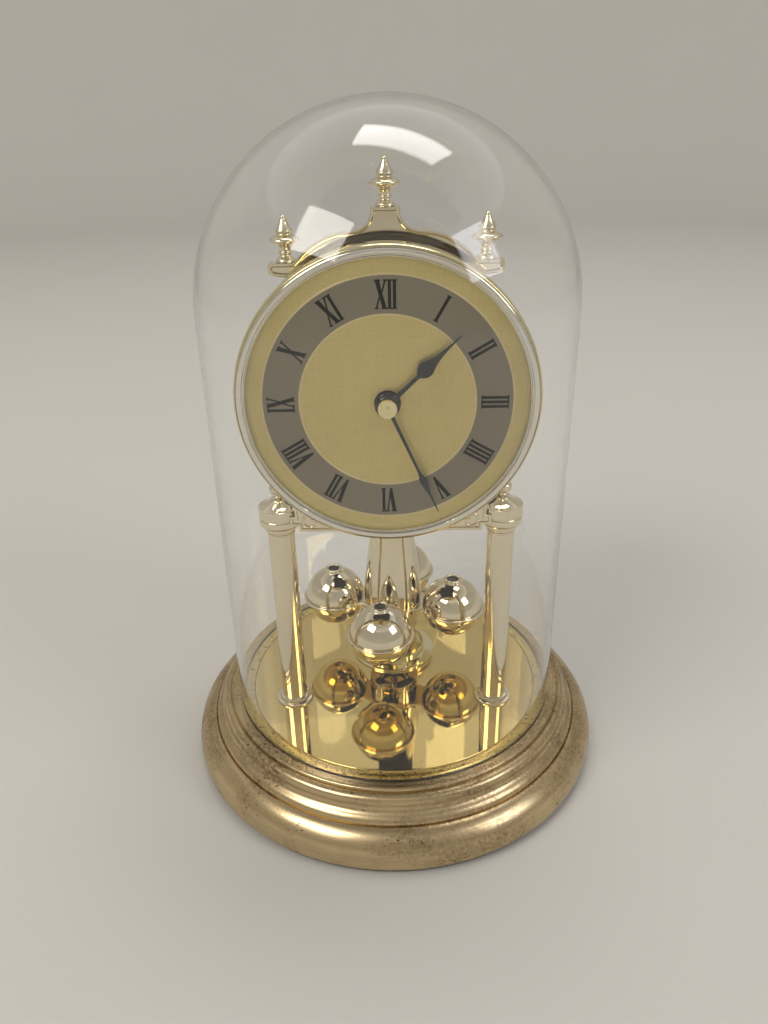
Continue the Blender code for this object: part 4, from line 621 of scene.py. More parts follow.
def dress(piece, maker, body, nodes=(), rounding=0.0, segments=2, smooth=35.0):
    """Round a piece's edges, shade it, give it its finish and let it ride on its body."""
    if bpy.context.mode != "OBJECT":
        bpy.ops.object.mode_set(mode="OBJECT")
    settle(piece)
    if rounding:
        bevel = piece.modifiers.new("rounding", "BEVEL")
        bevel.width = rounding
        bevel.segments = segments
        bevel.limit_method = "ANGLE"
        bevel.angle_limit = math.radians(BEVEL_ANGLE)
        bpy.ops.object.modifier_apply(modifier=bevel.name)
    bpy.ops.object.shade_smooth_by_angle(angle=math.radians(smooth))
    # Wide faces keep their own normals beside narrow rounded ones, or a mirror finish looks dented
    weighted = piece.modifiers.new("weighted", "WEIGHTED_NORMAL")
    weighted.keep_sharp = True
    bpy.ops.object.modifier_apply(modifier=weighted.name)
    piece.data.materials.clear()
    piece.data.materials.append(finish_of(maker))
    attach(piece, body)
    if nodes:
        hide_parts(*nodes)


class PieceOperator:
    """What the operators share: each one models its pieces and reports that it has."""

    bl_options = {"REGISTER", "UNDO"}

    def execute(self, context):
        """Model the pieces."""
        self.model(context.scene.clock_sizes)
        return {"FINISHED"}


class CLOCK_OT_base(PieceOperator, bpy.types.Operator):
    """Model the felt ring and the spun base shell"""

    bl_idname = "clock.base"
    bl_label = "Felt and base shell"

    def model(self, sizes):
        """Turn the felt and the shell."""
        felt = turned("felt_pad", [(51, 0.05), (51.2, 0), (68.8, 0), (69, 0.05), (69, 0.68), (51, 0.68)])
        dress(felt, felt_wool_pressed, "base", ("felt_ring",))
        edge = turned("board_edge", [(72.9, 1.1), (73.0, 0.98), (73.6, 0.98), (73.74, 1.1), (73.74, 1.6),
                                     (73.6, 1.74), (72.9, 1.74)], steps=WIDE)
        dress(edge, fibreboard_pressed, "base", ())
        outside = [(73.4, 2.0), (74.0, 2.02), (74.5, 2.3)]
        outside += curve_through([(74.85, 3.0), (74.97, 4.2), (74.97, 5.6), (74.7, 7.4), (74.05, 9.2),
                                  (73.0, 10.9), (71.5, 12.5), (69.9, 13.6), (68.6, 14.1)], 4)
        outside += [(68.4, 14.1), (68.25, 13.85), (68.1, 13.7), (67.98, 13.85), (67.95, 14.15)]
        outside += curve_through([(67.9, 14.5), (67.6, 15.4), (66.8, 16.3), (65.8, 17.0), (65.1, 17.8),
                                  (64.8, 18.8), (64.75, 19.8), (64.55, 20.8), (64.0, 21.6), (63.2, 22.1),
                                  (62.4, 22.3)], 4)
        outside += [(62.15, 22.25), (61.95, 22.05), (61.8, 22.05), (61.7, 22.3)]
        outside += curve_through([(61.68, 22.6), (61.5, 23.05), (61.1, 23.32), (60.6, 23.4)], 3)
        outside += [(58.6, 23.4), (58.4, 23.32), (56.4, 23.32), (56.2, 23.3), (53.4, 23.3)]
        inside = [(53.4, 22.15), (50.8, 22.1), (50.8, 21.25), (62.4, 21.2), (63.5, 20.0), (63.5, 17.5),
                  (66.2, 13.0), (70.5, 11.5), (73.3, 8.5), (73.4, 7.3), (72.8, 2.0)]
        shell = turned("base_shell_spun", outside + inside, steps=WIDE)
        dress(shell, brass_spun_lacquered, "base", ("base_shell",))


class CLOCK_OT_disc(PieceOperator, bpy.types.Operator):
    """Model the polished disc and the pendulum's guide cup"""

    bl_idname = "clock.disc"
    bl_label = "Polished disc and guide cup"

    def model(self, sizes):
        """Turn the disc and the cup."""
        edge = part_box("mirror_disc")[1].x / MM
        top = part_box("mirror_disc")[1].z / MM
        profile = [(0, top - 0.8), (edge, top - 0.8), (edge, top - 0.15), (edge - 0.15, top), (0, top)]
        disc = turned("polished_disc", profile, steps=WIDE, closed=False)
        dress(disc, brass_buffed, "base", ("mirror_disc",))
        seat = [(53.2, -0.4), (53.25, 0.12)]
        seat += curve_through([(53.35, 0.22), (53.9, 0.36), (54.9, 0.42), (55.9, 0.36), (56.5, 0.2)], 3)
        seat += [(56.5, 0.08), (55.0, 0.05), (53.5, 0.02)]
        ring = turned("dome_seat_ring", lifted(top, seat), steps=WIDE)
        dress(ring, brass_buffed_worn, "base", ())
        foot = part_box("guide_cup")[0].z / MM - SEATING
        cup = [(0, 0), (15.7, 0), (15.8, 0.1), (15.8, 0.6), (15.6, 0.75), (12.6, 0.78), (12.15, 0.95),
               (12.0, 1.3), (12.0, 3.3), (11.85, 3.55), (11.6, 3.62), (11.35, 3.55), (11.2, 3.3),
               (11.2, 1.0), (10.9, 0.75), (0, 0.75)]
        piece = turned("guide_cup_turned", lifted(foot, cup), PENDULUM_AXIS, closed=False)
        dress(piece, plated_abs_gold, "base", ("guide_cup",))


class CLOCK_OT_dome(PieceOperator, bpy.types.Operator):
    """Model the blown glass dome"""

    bl_idname = "clock.dome"
    bl_label = "Glass dome"

    def model(self, sizes):
        """Turn the dome with its ground foot."""
        low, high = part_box("glass_dome")
        outer = high.x / MM
        inner = outer - DOME_WALL
        foot, centre = low.z / MM - SEATING, (high.z - high.x) / MM
        loops = [foot + (centre - foot) * share for share in (0.04, 0.2, 0.4, 0.6, 0.8, 0.96)]
        profile = lifted(foot, [(inner + 0.35, 0), (outer - 0.35, 0), (outer - 0.08, 0.12),
                                (outer, 0.4), (outer, 0.8)])
        profile += [(outer, height) for height in loops]
        profile += arc((0, centre), outer, 0, 90, 40)
        profile += arc((0, centre), inner, 90, 0, 40)
        profile += [(inner, height) for height in reversed(loops)]
        profile += lifted(foot, [(inner, 0.8), (inner, 0.4), (inner + 0.08, 0.12)])
        profile = [(r if r > 1e-6 else 0.0, h) for r, h in profile]
        dome = turned("dome_blown", profile, steps=WIDE)
        dress(dome, glass_blown, "dome", ("glass_dome",))


class CLOCK_OT_columns(PieceOperator, bpy.types.Operator):
    """Model the columns with their collars, capitals and knobs"""

    bl_idname = "clock.columns"
    bl_label = "Columns"

    def model(self, sizes):
        """Turn one set and copy it to the other side."""
        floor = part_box("mirror_disc")[1].z / MM
        collar = lifted(floor, [(3.4, 0.02), (6.5, 0.02), (6.6, 0.1), (6.6, 0.55), (6.45, 0.78),
                                (6.1, 0.86), (5.55, 0.8), (5.35, 0.86), (5.25, 1.1), (5.25, 1.75),
                                (5.1, 1.98), (4.8, 2.06), (4.55, 2.1), (4.5, 2.3), (3.4, 2.3)])
        shaft = [(3.4, 25.45), (4.4, 25.45), (4.4, 91.7), (4.6, 91.75), (4.68, 91.9), (4.68, 92.3),
                 (4.6, 92.45), (4.45, 92.5), (4.45, 92.7), (3.4, 92.7)]
        capital = [(3.0, 92.75), (4.7, 92.75), (4.75, 92.9), (4.75, 93.4), (4.9, 93.55), (5.3, 93.65),
                   (5.5, 93.85), (5.55, 94.15), (5.5, 94.45), (5.3, 94.65), (5.0, 94.7), (5.0, 95.4),
                   (3.0, 95.4)]
        knob = [(0, 104.0), (2.4, 104.0), (2.48, 104.15), (2.4, 104.35)]
        knob += curve_through([(2.0, 104.5), (1.45, 104.75), (1.2, 105.2), (1.3, 105.6), (1.7, 105.85),
                               (2.35, 106.15), (2.75, 106.8), (2.85, 107.55), (2.65, 108.3),
                               (2.0, 108.95), (1.1, 109.3), (0, 109.42)], 3)
        left = middle("column_collar_left")
        right = middle("column_collar_right")
        for name, profile, node in (("tube", shaft, "column_"), ("collar", collar, "column_collar_"),
                                    ("capital", capital, "capital_"), ("knob", knob, "column_knob_")):
            shape = turned("column_left_" + name, profile, (left.x, left.y, 0), steps=SLIM,
                           closed=name != "knob")
            other = copied(shape, "column_right_" + name, (right.x - left.x, 0, 0))
            for side, piece in zip(SIDES, (shape, other)):
                dress(piece, plated_abs_champagne, "base", (node + side,))


class CLOCK_OT_plate(PieceOperator, bpy.types.Operator):
    """Model the front plate with its rim, lugs and scrolls"""

    bl_idname = "clock.plate"
    bl_label = "Front plate"

    def half_outline(self):
        """Return the right half of the outline, from the bridge up to the pedestal."""
        centre = DIAL_CENTRE.z / MM
        points = [(29.3, 94.6), (29.3, 96.5), (32.2, 96.5), (32.2, 99.85), (30.4, 99.85)]
        points += arc((0, centre), 39.0, -33.7, 54.9, 30)
        points += curve_through([(24.0, 174.12), (26.8, 174.1), (29.0, 174.2), (31.0, 174.5)], 3)
        # Beside a corner the steps stay longer than the rim is wide, or the inset folds over
        points += [(32.5, 175.1), (32.5, 177.9)]
        points += curve_through([(25.6, 177.9), (24.3, 179.2), (22.6, 180.9), (20.4, 182.5),
                                 (18.0, 183.9), (15.4, 185.0), (12.5, 185.7)], 4)
        points += curve_through([(11.2, 185.72), (9.6, 185.85), (8.0, 186.15), (6.6, 186.7), (5.4, 187.6),
                                 (4.6, 188.7), (4.0, 190.2)], 4)
        points += [(4.0, 191.9)]
        return points

    def model(self, sizes):
        """Build the plate, then the lugs that the columns clamp, then the scrolls."""
        middle_y = middle("finial_centre").y
        front, back = middle_y - PLATE_THICKNESS * MM / 2, middle_y + PLATE_THICKNESS * MM / 2
        half = self.half_outline()
        outline = half + [(-x, z) for x, z in reversed(half)]
        plate = prism("front_plate_moulding", outline, front, back, Vector((0, 0, 0)))
        select_front()
        bpy.ops.mesh.inset(thickness=sizes.rim_width, depth=0)
        bpy.ops.mesh.inset(thickness=sizes.rim_height / 3, depth=0)
        bpy.ops.transform.translate(value=(0, sizes.rim_height, 0))
        dress(plate, plated_abs_champagne, "base", ("front_plate",),
              rounding=0.18 * MM, smooth=30)
        lug = [(1.9, 95.45), (6.4, 95.45), (6.65, 95.52), (6.75, 95.7), (6.75, 97.3), (6.65, 97.45),
               (6.4, 97.52), (6.3, 97.65), (6.3, 97.95), (6.4, 98.05), (6.7, 98.12), (6.8, 98.28),
               (6.8, 101.35), (6.72, 101.52), (6.5, 101.6)]
        lug += curve_through([(6.2, 101.68), (5.2, 102.0), (4.0, 102.6), (3.0, 103.3),
                              (2.45, 103.8)], 3) + [(2.4, 103.95), (1.9, 103.95)]
        for side in SIDES:
            place = middle("column_collar_" + side)
            piece = turned("plate_lug_" + side, lug, (place.x, place.y, 0), steps=SLIM)
            dress(piece, plated_abs_champagne, "base", ())
        # A C of 330 degrees that curls inwards over its last part
        points, steps, curl = [], 48, 0.72
        for step in range(steps + 1):
            share = step / steps
            angle = math.radians(105 - 330 * share)
            reach = SCROLL_RADIUS - 1.5 * (max(0.0, share - curl) / (1 - curl)) ** 1.5
            points.append(Vector((SCROLL_X + reach * math.cos(angle), 0,
                                  SCROLL_Z + reach * math.sin(angle))) * MM)
            points[-1].y = front + sizes.rim_height - 0.1 * MM
        scroll = trace("plate_scroll_right", points)
        bpy.ops.object.mode_set(mode="OBJECT")
        bpy.ops.object.convert(target="CURVE")
        scroll.data.bevel_depth = SCROLL_WIRE * MM
        scroll.data.bevel_resolution = 3
        scroll.data.use_fill_caps = True
        bpy.ops.object.convert(target="MESH")
        settle(scroll)
        mend(scroll)
        other = copied(scroll, "plate_scroll_left")
        other.scale.x = -1
        settle(other)
        mend(other)
        for piece in (scroll, other):
            dress(piece, plated_abs_champagne, "base", (), smooth=60)


class CLOCK_OT_finials(PieceOperator, bpy.types.Operator):
    """Model the three turned finials"""

    bl_idname = "clock.finials"
    bl_label = "Finials"

    def model(self, sizes):
        """Turn the centre finial and copy it to the shoulders."""
        low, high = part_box("finial_centre")
        foot, height = low.z / MM, (high.z - low.z) / MM
        shares = curve_through([(0.63, 0.0), (0.61, 0.03), (0.52, 0.07), (0.42, 0.10), (0.36, 0.13),
                                (0.38, 0.155), (0.43, 0.175), (0.43, 0.195), (0.38, 0.22),
                                (0.38, 0.25), (0.41, 0.29), (0.49, 0.33), (0.62, 0.365), (0.80, 0.395),
                                (0.94, 0.425), (0.99, 0.45), (0.99, 0.475), (0.92, 0.505),
                                (0.78, 0.53), (0.62, 0.555), (0.53, 0.575), (0.49, 0.595),
                                (0.50, 0.615), (0.545, 0.632), (0.56, 0.652), (0.55, 0.672),
                                (0.50, 0.70), (0.42, 0.75), (0.345, 0.80), (0.28, 0.85), (0.22, 0.89),
                                (0.18, 0.92), (0.185, 0.945), (0.16, 0.97), (0.09, 0.988),
                                (0.0, 1.0)], 3)
        profile = [(0, foot - SEATING), (FINIAL_FOOT, foot - SEATING)]
        profile += [(max(0.0, r) * FINIAL_RADIUS, foot + h * height) for r, h in shares]
        centre = middle("finial_centre")
        first = turned("finial_centre_turned", profile, (centre.x, centre.y, 0), steps=48, closed=False)
        pieces = {"finial_centre": first}
        for side in SIDES:
            node = "finial_" + side
            pieces[node] = copied(first, node + "_turned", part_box(node)[0] - low)
        for node, piece in pieces.items():
            dress(piece, plated_abs_champagne, "base", (node,), smooth=50)


class CLOCK_OT_dial(PieceOperator, bpy.types.Operator):
    """Model the dial with its chapter ring and numerals"""

    bl_idname = "clock.dial"
    bl_label = "Dial and numerals"

    def letters(self, height, front, back):
        """Return the three letters that the numerals are made of, and how far each one steps."""
        h, serif = height / 2, 0.38
        stem, wide = 0.42, 0.68
        upright = [(-wide, -h), (wide, -h), (wide, -h + serif), (stem, -h + serif),
                   (stem, h - serif), (wide, h - serif), (wide, h), (-wide, h),
                   (-wide, h - serif), (-stem, h - serif), (-stem, -h + serif), (-wide, -h + serif)]
        vee = [(-1.62, h), (-0.10, h), (-0.10, h - serif), (-0.30, h - serif), (0.42, -h + 2.9),
               (0.80, h - serif), (0.54, h - serif), (0.54, h), (1.62, h), (1.62, h - serif),
               (1.34, h - serif), (0.36, -h), (-0.26, -h), (-1.42, h - serif), (-1.62, h - serif)]
        cross = [(-1.68, h), (-0.12, h), (-0.12, h - serif), (-0.30, h - serif), (0.22, 0.98),
                 (0.86, h - serif), (0.58, h - serif), (0.58, h), (1.68, h), (1.68, h - serif),
                 (1.38, h - serif), (0.42, 0.26), (1.50, -h + serif), (1.68, -h + serif), (1.68, -h),
                 (0.12, -h), (0.12, -h + serif), (0.32, -h + serif), (-0.26, -1.12),
                 (-0.88, -h + serif), (-0.60, -h + serif), (-0.60, -h), (-1.68, -h),
                 (-1.68, -h + serif), (-1.38, -h + serif), (-0.48, -0.42), (-1.50, h - serif),
                 (-1.68, h - serif)]
        made = {}
        for letter, outline, step in (("I", upright, 1.30), ("V", vee, 3.20), ("X", cross, 3.28)):
            piece = prism("letter_" + letter, outline, front, back, Vector((0, 0, 0)))
            bpy.ops.object.mode_set(mode="OBJECT")
            settle(piece)
            made[letter] = (piece, step)
        return made

    def model(self, sizes):
        """Turn the dial, lay the ring on it and set the numerals round it."""
        low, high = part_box("dial")
        front, back = low.y / MM, high.y / MM
        edge = 40.2
        disc = [(3.7, back), (edge, back), (edge, front), (3.7, front)]
        dial = turned("dial_plate", disc, DIAL_CENTRE, "Y", steps=DIAL)
        dress(dial, aluminium_linen_gold, "base", ("dial",))
        inner, outer = sizes.ring_inner / MM, sizes.ring_outer / MM
        lift = front - 0.03
        ring = turned("chapter_ring", [(inner, front), (inner, lift), (outer, lift), (outer, front)],
                      DIAL_CENTRE, "Y", steps=DIAL)
        dress(ring, lacquer_smoked, "base", ())
        for name, radius in (("inner", inner), ("outer", outer)):
            line = [(radius - 0.28, front), (radius - 0.2, front - 0.08), (radius + 0.2, front - 0.08),
                    (radius + 0.28, front)]
            border = turned("chapter_border_" + name, line, DIAL_CENTRE, "Y", steps=DIAL)
            dress(border, aluminium_linen_pale, "base", (), smooth=60)
        letters = self.letters(sizes.numeral_height / MM, (front - 0.06) * MM, (front - 0.02) * MM)
        numerals = ("XII", "I", "II", "III", "IIII", "V", "VI", "VII", "VIII", "IX", "X", "XI")
        for hour, word in enumerate(numerals):
            name = "numeral_" + str(hour or 12)
            angle = math.tau * hour / 12
            turn = Matrix.Rotation(angle, 3, "Y")
            reach = -sum(letters[letter][1] for letter in word) / 2
            pieces = []
            for letter in word:
                shape, step = letters[letter]
                shift = Vector(((reach + step / 2) * MM, 0, sizes.numeral_radius))
                pieces.append(copied(shape, name, DIAL_CENTRE + turn @ shift, angle, "Y"))
                reach += step
            numeral = join(pieces)
            numeral.name = name
            dress(numeral, ink_pad_printed, "base", (), smooth=20)
        for shape, _ in letters.values():
            bpy.data.objects.remove(shape, do_unlink=True)


class CLOCK_OT_bezel(PieceOperator, bpy.types.Operator):
    """Model the bezel and the drum behind the dial"""

    bl_idname = "clock.bezel"
    bl_label = "Bezel and drum"

    def model(self, sizes):
        """Turn the bezel and the drum about the dial's axis."""
        low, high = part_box("bezel")
        front, back = low.y / MM, high.y / MM
        outer = 42.6
        flange = [(outer - 0.1, back), (outer, back - 0.15), (outer, front + 2.2)]
        flange += curve_through(lifted(front, [(42.58, 1.8), (42.42, 1.15), (42.15, 0.72),
                                               (41.95, 0.6)]), 3)
        flange += lifted(front, [(41.85, 0.75), (41.8, 1.72), (40.45, 1.72)]) + [(40.45, back)]
        piece = turned("bezel_flange", flange, DIAL_CENTRE, "Y", steps=WIDE)
        dress(piece, plated_abs_gold, "base", ("bezel",), smooth=30)
        band = [(41.6, 2.0), (41.6, 0.42), (41.52, 0.22), (41.3, 0.05), (41.0, 0), (40.5, 0),
                (40.25, 0.08), (40.12, 0.25), (40.08, 1.2), (39.78, 1.2), (39.74, 0.75), (39.6, 0.6),
                (39.42, 0.62), (39.3, 0.8), (39.3, 1.72), (39.9, 2.0)]
        piece = turned("bezel_band", lifted(front, band), DIAL_CENTRE, "Y", steps=WIDE)
        dress(piece, plated_abs_silver, "base", (), smooth=30)
        low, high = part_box("dial_drum")
        front, back = low.y / MM - SEATING, high.y / MM + 0.2
        wall = [(38.8, front), (40.2, front), (40.2, front + 5), (40.0, front + 5.1), (40.0, front + 5.5),
                (40.2, front + 5.6), (40.2, back - 0.3), (40.05, back), (38.8, back)]
        drum = turned("drum_drawn", wall, DIAL_CENTRE, "Y", steps=DIAL)
        dress(drum, plated_abs_gold, "base", ("dial_drum",))


class CLOCK_OT_hands(PieceOperator, bpy.types.Operator):
    """Model the two hands and their cap"""

    bl_idname = "clock.hands"
    bl_label = "Hands"

    def hand(self, node, name, hub, blade, body, angle):
        """Build one hand from its blade's half outline at an angle, with a raised ring round its hub."""
        low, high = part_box(node)
        half = curve_through(blade, 4)
        start = math.degrees(math.asin(blade[0][1] / hub))
        outline = [(x, -y) for x, y in half] + [(x, y) for x, y in reversed(half)]
        outline += arc((0, 0), hub, start, 360 - start, 40)[1:-1]
        turn = math.pi / 2 - math.radians(angle)
        placed = [(x * math.cos(turn) - y * math.sin(turn), x * math.sin(turn) + y * math.cos(turn))
                  for x, y in outline]
        piece = prism(name, placed, low.y, high.y)
        dress(piece, steel_lacquered, body, (node,), rounding=0.12 * MM, smooth=40)
        face = low.y / MM
        ring = [(hub * 0.55, 0.1), (hub - 0.1, 0.1), (hub - 0.1, -0.12), (hub - 0.25, -0.25),
                (hub * 0.72, -0.25), (hub * 0.64, -0.1), (hub * 0.55, -0.1)]
        boss = turned(name + "_hub", lifted(face, ring), DIAL_CENTRE, "Y", steps=SLIM)
        dress(boss, steel_lacquered, body, ())

    def model(self, sizes):
        """Build both hands and turn the cap."""
        hour = [(3.4, 0.66), (6.5, 0.58), (10.4, 0.54), (11.6, 0.62), (12.1, 0.98), (12.7, 1.54),
                (13.5, 2.0), (14.4, 2.18), (15.3, 2.06), (16.3, 1.66), (17.6, 1.16), (19.2, 0.76),
                (21.2, 0.50), (24.0, 0.30), (27.6, 0.10)]
        minute = [(3.1, 0.52), (8.0, 0.46), (16.0, 0.42), (21.0, 0.42), (22.3, 0.58), (23.5, 0.92),
                  (24.8, 1.06), (26.2, 0.88), (27.8, 0.52), (29.8, 0.32), (33.0, 0.20), (35.1, 0.08)]
        self.hand("hour_hand", "hour_hand_stamped", 3.55, hour, "hour", HOUR_TURN)
        self.hand("minute_hand", "minute_hand_stamped", 3.2, minute, "minute", MINUTE_TURN)
        low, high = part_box("dial_nut")
        front, back = low.y / MM, high.y / MM
        rim = [(2.4, back), (3.3, back), (3.3, front + 0.15), (3.15, front), (2.4, front)]
        nut = turned("dial_nut_turned", rim, DIAL_CENTRE, "Y", steps=48)
        dress(nut, steel_lacquered, "base", ("dial_nut",))
        low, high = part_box("hand_cap")
        back, front = high.y / MM + 0.28, low.y / MM
        profile = [(0, back), (2.6, back), (2.65, back - 0.1), (2.65, front + 0.16), (2.6, front + 0.08),
                   (2.5, front + 0.06), (1.6, front + 0.12), (0.6, front + 0.1), (0.4, front),
                   (0, front)]
        cap = turned("hand_cap_turned", profile, DIAL_CENTRE, "Y", steps=SLIM, closed=False)
        dress(cap, plated_abs_gold, "minute", ("hand_cap",))


class CLOCK_OT_pendulum(PieceOperator, bpy.types.Operator):
    """Model the pendulum's bell, hub and arms"""

    bl_idname = "clock.pendulum"
    bl_label = "Pendulum bell, hub and arms"

    def model(self, sizes):
        """Turn the bell and the hub, and cut the arms."""
        low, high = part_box("pendulum_bell")
        foot, top = low.z / MM - SEATING, high.z / MM
        crown = top - 2.4
        span = crown - foot
        shares = [(0.0, 10.75), (0.02, 10.9), (0.06, 10.9), (0.10, 10.88), (0.16, 10.78), (0.24, 10.55),
                  (0.34, 10.15), (0.47, 9.5), (0.62, 8.75), (0.78, 8.15), (0.92, 7.75), (0.985, 7.6)]
        outer = curve_through([(r, foot + s * span) for s, r in shares], 3)
        outer += [(7.5, crown - 0.1), (7.3, crown), (2.6, crown), (2.4, crown + 0.2), (2.4, top - 0.15),
                  (2.25, top), (0.6, top), (0.6, top - 2.0), (0, top - 2.0)]
        inner = [(0, crown - 1.2), (6.4, crown - 1.2)]
        inner += [(r - 1.2, foot + s * span) for s, r in reversed(shares[:-1])]
        bell = turned("bell_turned", outer + inner, PENDULUM_AXIS)
        dress(bell, plated_abs_champagne, "pendulum", ("pendulum_bell",))
        low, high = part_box("pendulum_hub")
        bottom, seat = low.z / MM, HUB_SEAT
        hub = [(0, seat - 0.6), (1.5, seat - 0.6)]
        hub += lifted(bottom, [(1.5, 3.0), (5.6, 3.0), (5.6, 0.15), (5.75, 0), (9.2, 0), (9.5, 0.1),
                               (9.7, 0.4), (9.7, 2.2), (9.5, 2.4), (9.5, 2.7), (9.7, 2.9)])
        hub += [(9.7, seat - 0.3), (9.55, seat), (3.0, seat), (3.0, high.z / MM), (0, high.z / MM)]
        piece = turned("hub_turned", hub, PENDULUM_AXIS, steps=80)
        dress(piece, plated_abs_champagne, "pendulum", ("pendulum_hub",))
        outline = []
        gap = 180 - math.degrees(math.asin(ARM_HALF_WIDTH / RING_RADIUS))
        for way in range(PENDULUM_TURN, PENDULUM_TURN + 360, 90):
            angle = math.radians(way)
            end = (ARM_REACH * math.cos(angle), ARM_REACH * math.sin(angle))
            outline += arc(end, RING_RADIUS, way - gap, way + gap, 40)
            outline += arc((0, 0), CROSS_RADIUS, way + 38, way + 52, 4)
        low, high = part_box("pendulum_arms")
        points = [PENDULUM_AXIS + Vector((x * MM, y * MM, low.z)) for x, y in outline]
        arms = extruded("pendulum_cross", points, (0, 0, high.z - low.z))
        dress(arms, plated_abs_champagne, "pendulum", ("pendulum_arms",),
              rounding=0.4 * MM, segments=4, smooth=40)


class CLOCK_OT_balls(PieceOperator, bpy.types.Operator):
    """Model the four balls in their halves"""

    bl_idname = "clock.balls"
    bl_label = "Balls"

    def model(self, sizes):
        """Turn both halves of one ball and copy them."""
        places = {word: middle("ball_" + word + "_lower") for word in BALL_NAMES}
        level = middle("pendulum_arms").z
        for word in BALL_NAMES:
            places[word].z = level
        start = math.degrees(math.asin(BALL_SEAM / BALL_RADIUS))
        upper = [(0, BALL_SEAM), (11.0, BALL_SEAM), (11.3, BALL_SEAM)]
        upper += arc((0, 0), BALL_RADIUS, start + 1.2, 69, 22)
        upper += [(3.75, 10.86), (3.55, 10.98), (3.45, 11.2), (3.42, 11.75), (3.3, 11.98), (3.05, 12.1),
                  (2.45, 12.1), (2.25, 12.0), (2.15, 11.8), (2.1, 10.4), (0, 10.4)]
        screw = [(0, 10.38), (2.07, 10.38), (2.07, 10.62), (1.95, 10.7), (1.5, 10.72), (1.42, 10.8),
                 (1.38, 11.2), (1.2, 11.45), (0.85, 11.62), (0.4, 11.7), (0, 11.72)]
        lower = [(0, -BALL_SEAM), (11.0, -BALL_SEAM), (11.3, -BALL_SEAM)]
        lower += arc((0, 0), BALL_RADIUS, -start - 1.2, -79, 24)
        lower += [(2.05, -11.2), (1.95, -11.05), (1.9, -10.1), (0, -10.05)]
        for part, profile, maker, slot in (("upper", upper, plated_abs_champagne, "plated_plastic"),
                                           ("lower", lower, plated_abs_gold, "plated_gold"),
                                           ("screw", screw, steel_lacquered, "steel")):
            names = ["ball_" + word + "_" + part for word in BALL_NAMES]
            first = turned(names[0] + "_turned", profile, places["front"], steps=72, closed=False)
            pieces = [first]
            for word, name in zip(BALL_NAMES[1:], names[1:]):
                pieces.append(copied(first, name + "_turned", places[word] - places["front"]))
            for name, piece in zip(names, pieces):
                dress(piece, maker, "pendulum", () if part == "screw" else (name,), smooth=38)


class CLOCK_OT_back(PieceOperator, bpy.types.Operator):
    """Model the drive housing, the battery and its cradle, and the setting knob"""

    bl_idname = "clock.back"
    bl_label = "Housing and battery"

    def model(self, sizes):
        """Merge each moulded solid's triangles and round its edges, then turn the cell."""
        for node in ("drive_housing", "battery_cradle", "setting_knob", "movement_case",
                     "movement_rear_plate"):
            made = bpy.data.objects.new(node + "_moulded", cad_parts[node].data.copy())
            bpy.context.scene.collection.objects.link(made)
            mend(made, flatten=True)
            dress(made, abs_grained_black, "setting" if node == "setting_knob" else "base", (node,),
                  sizes.edge_round)
        low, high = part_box("battery")
        half = (high.x - low.x) / 2 / MM
        profile = lifted(-half, [(0, 0), (3.6, 0), (5.2, 0.1), (6.2, 0.12), (6.6, 0.35), (6.9, 0.1),
                                 (CELL_RADIUS, 0.5)])
        profile += lifted(half, [(CELL_RADIUS, -1.7), (6.9, -1.3), (6.5, -1.5), (4.4, -1.35),
                                 (2.9, -1.2), (2.7, -0.9), (2.6, -0.2), (2.3, 0), (0, 0)])
        cell = turned("cell_jacketed", profile, middle("battery"), "X", steps=SLIM, closed=False)
        dress(cell, film_printed_jacket, "battery", ("battery",))


class CLOCK_OT_inner(PieceOperator, bpy.types.Operator):
    """Give the solids that stay their finishes"""

    bl_idname = "clock.inner"
    bl_label = "Inner parts"

    def model(self, sizes):
        """Assign a finish to each solid that is shown as it is."""
        finishes = {
            fibreboard_pressed: ("base_board",),
            steel_drawn: ("tie_bolt_left", "tie_bolt_right", "suspension_clamp", "suspension_wire",
                           "battery_contact_left", "battery_contact_right", "pendulum_spindle",
                           "pendulum_magnet"),
            brass_cut: ("centre_wheel",),
            acetal_white: ("hour_wheel", "minute_wheel", "drive_pinion", "setting_pinion",
                           "stepping_motor"),
            copper_wire_enamelled: ("drive_coil",),
            laminate_green_resist: ("circuit_board",),
        }
        for maker, nodes in finishes.items():
            for node in nodes:
                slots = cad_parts[node].data.materials
                slots.clear()
                slots.append(finish_of(maker))


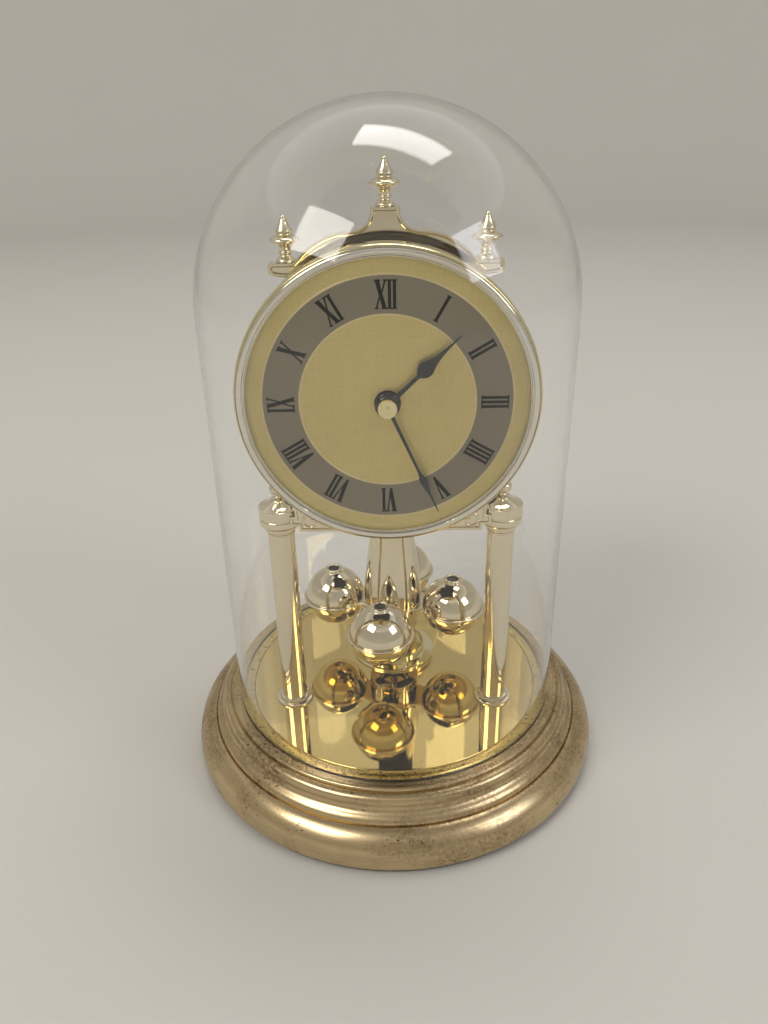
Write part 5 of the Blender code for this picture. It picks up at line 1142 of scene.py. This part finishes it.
class CLOCK_OT_stage(PieceOperator, bpy.types.Operator):
    """Set up the floor, the lamps and the camera"""

    bl_idname = "clock.stage"
    bl_label = "Stage"

    def model(self, sizes):
        """Fold a paper sweep, hang the lamps and place the camera."""
        sweep = [(0, 0), (1300, 0), (1800, 0)] + arc((1800, 700), 700, -90, 0, 16)[1:] + [(2500, 2200)]
        floor = turned("paper_sweep", sweep, closed=False)
        settle(floor)
        bpy.ops.object.shade_smooth()
        floor.data.materials.append(finish_of(paper_background))
        world = bpy.data.worlds.new("studio")
        scene = bpy.context.scene
        scene.world = world
        world.use_nodes = True
        tree = world.node_tree
        tree.nodes.clear()
        # Pale round the horizon and greyer overhead, so that plating has something to show
        way = add_node(tree, "ShaderNodeTexCoord").outputs["Generated"]
        parts = add_node(tree, "ShaderNodeSeparateXYZ", {0: way})
        height = add_node(tree, "ShaderNodeMapRange", {"Value": parts.outputs[2], "From Min": 0.35,
                                                       "From Max": 0.95})
        sky = add_node(tree, "ShaderNodeMix", {0: height, 6: linear(SKY_LOW), 7: linear(SKY_HIGH)},
                       data_type="RGBA")
        light = add_node(tree, "ShaderNodeBackground", {"Color": sky, "Strength": SKY_STRENGTH})
        add_node(tree, "ShaderNodeOutputWorld", {"Surface": light})
        for name, place, (width, height), power, tint in LAMPS:
            bpy.ops.object.light_add(type="AREA", location=place)
            lamp = bpy.context.object
            lamp.name = lamp.data.name = "lamp_" + name
            lamp.data.shape = "RECTANGLE"
            lamp.data.size, lamp.data.size_y = width, height
            lamp.data.energy = power
            lamp.data.color = linear(tint)[:3]
            lamp.rotation_euler = (LAMP_AIM - Vector(place)).to_track_quat("-Z", "Y").to_euler()
        bpy.ops.object.camera_add()
        camera = bpy.context.object
        camera.name = camera.data.name = "camera"
        turn = Matrix((CAMERA_RIGHT, CAMERA_UP, -CAMERA_AHEAD)).transposed().to_4x4()
        camera.matrix_world = Matrix.Translation(CAMERA_PLACE) @ turn
        camera.data.sensor_fit = "AUTO"
        camera.data.sensor_width = SENSOR_WIDTH
        camera.data.lens = FOCAL_LENGTH
        camera.data.clip_start = 0.01
        scene.camera = camera
        scene.view_settings.view_transform = "Standard"


OPERATORS = (CLOCK_OT_base, CLOCK_OT_disc, CLOCK_OT_dome, CLOCK_OT_columns, CLOCK_OT_plate,
             CLOCK_OT_finials, CLOCK_OT_dial, CLOCK_OT_bezel, CLOCK_OT_hands, CLOCK_OT_pendulum,
             CLOCK_OT_balls, CLOCK_OT_back, CLOCK_OT_inner, CLOCK_OT_stage)


class CLOCK_PT_panel(bpy.types.Panel):
    """Lists the clock's pieces, sizes and colours"""

    bl_idname = "CLOCK_PT_panel"
    bl_label = "Anniversary clock"
    bl_space_type = "VIEW_3D"
    bl_region_type = "UI"
    bl_category = "Clock"

    def draw(self, context):
        """List the operators, then the sizes and the colours."""
        for operator in OPERATORS:
            self.layout.operator(operator.bl_idname)
        for group in (context.scene.clock_sizes, context.scene.clock_colours):
            box = self.layout.box()
            for name in group.bl_rna.properties.keys():
                if name not in ("rna_type", "name"):
                    box.prop(group, name)


CLASSES = (ClockSizes, ClockColours) + OPERATORS + (CLOCK_PT_panel,)


def register():
    """Register the classes and hang the two groups on the scene."""
    for made in CLASSES:
        bpy.utils.register_class(made)
    bpy.types.Scene.clock_sizes = bpy.props.PointerProperty(type=ClockSizes)
    bpy.types.Scene.clock_colours = bpy.props.PointerProperty(type=ClockColours)


def unregister():
    """Take the groups and the classes away again."""
    del bpy.types.Scene.clock_colours
    del bpy.types.Scene.clock_sizes
    for made in reversed(CLASSES):
        bpy.utils.unregister_class(made)


def main():
    """Register the classes, dress the clock and set the stage."""
    register()
    for operator in OPERATORS:
        group, name = operator.bl_idname.split(".")
        getattr(getattr(bpy.ops, group), name)()


if __name__ == "__main__":
    main()
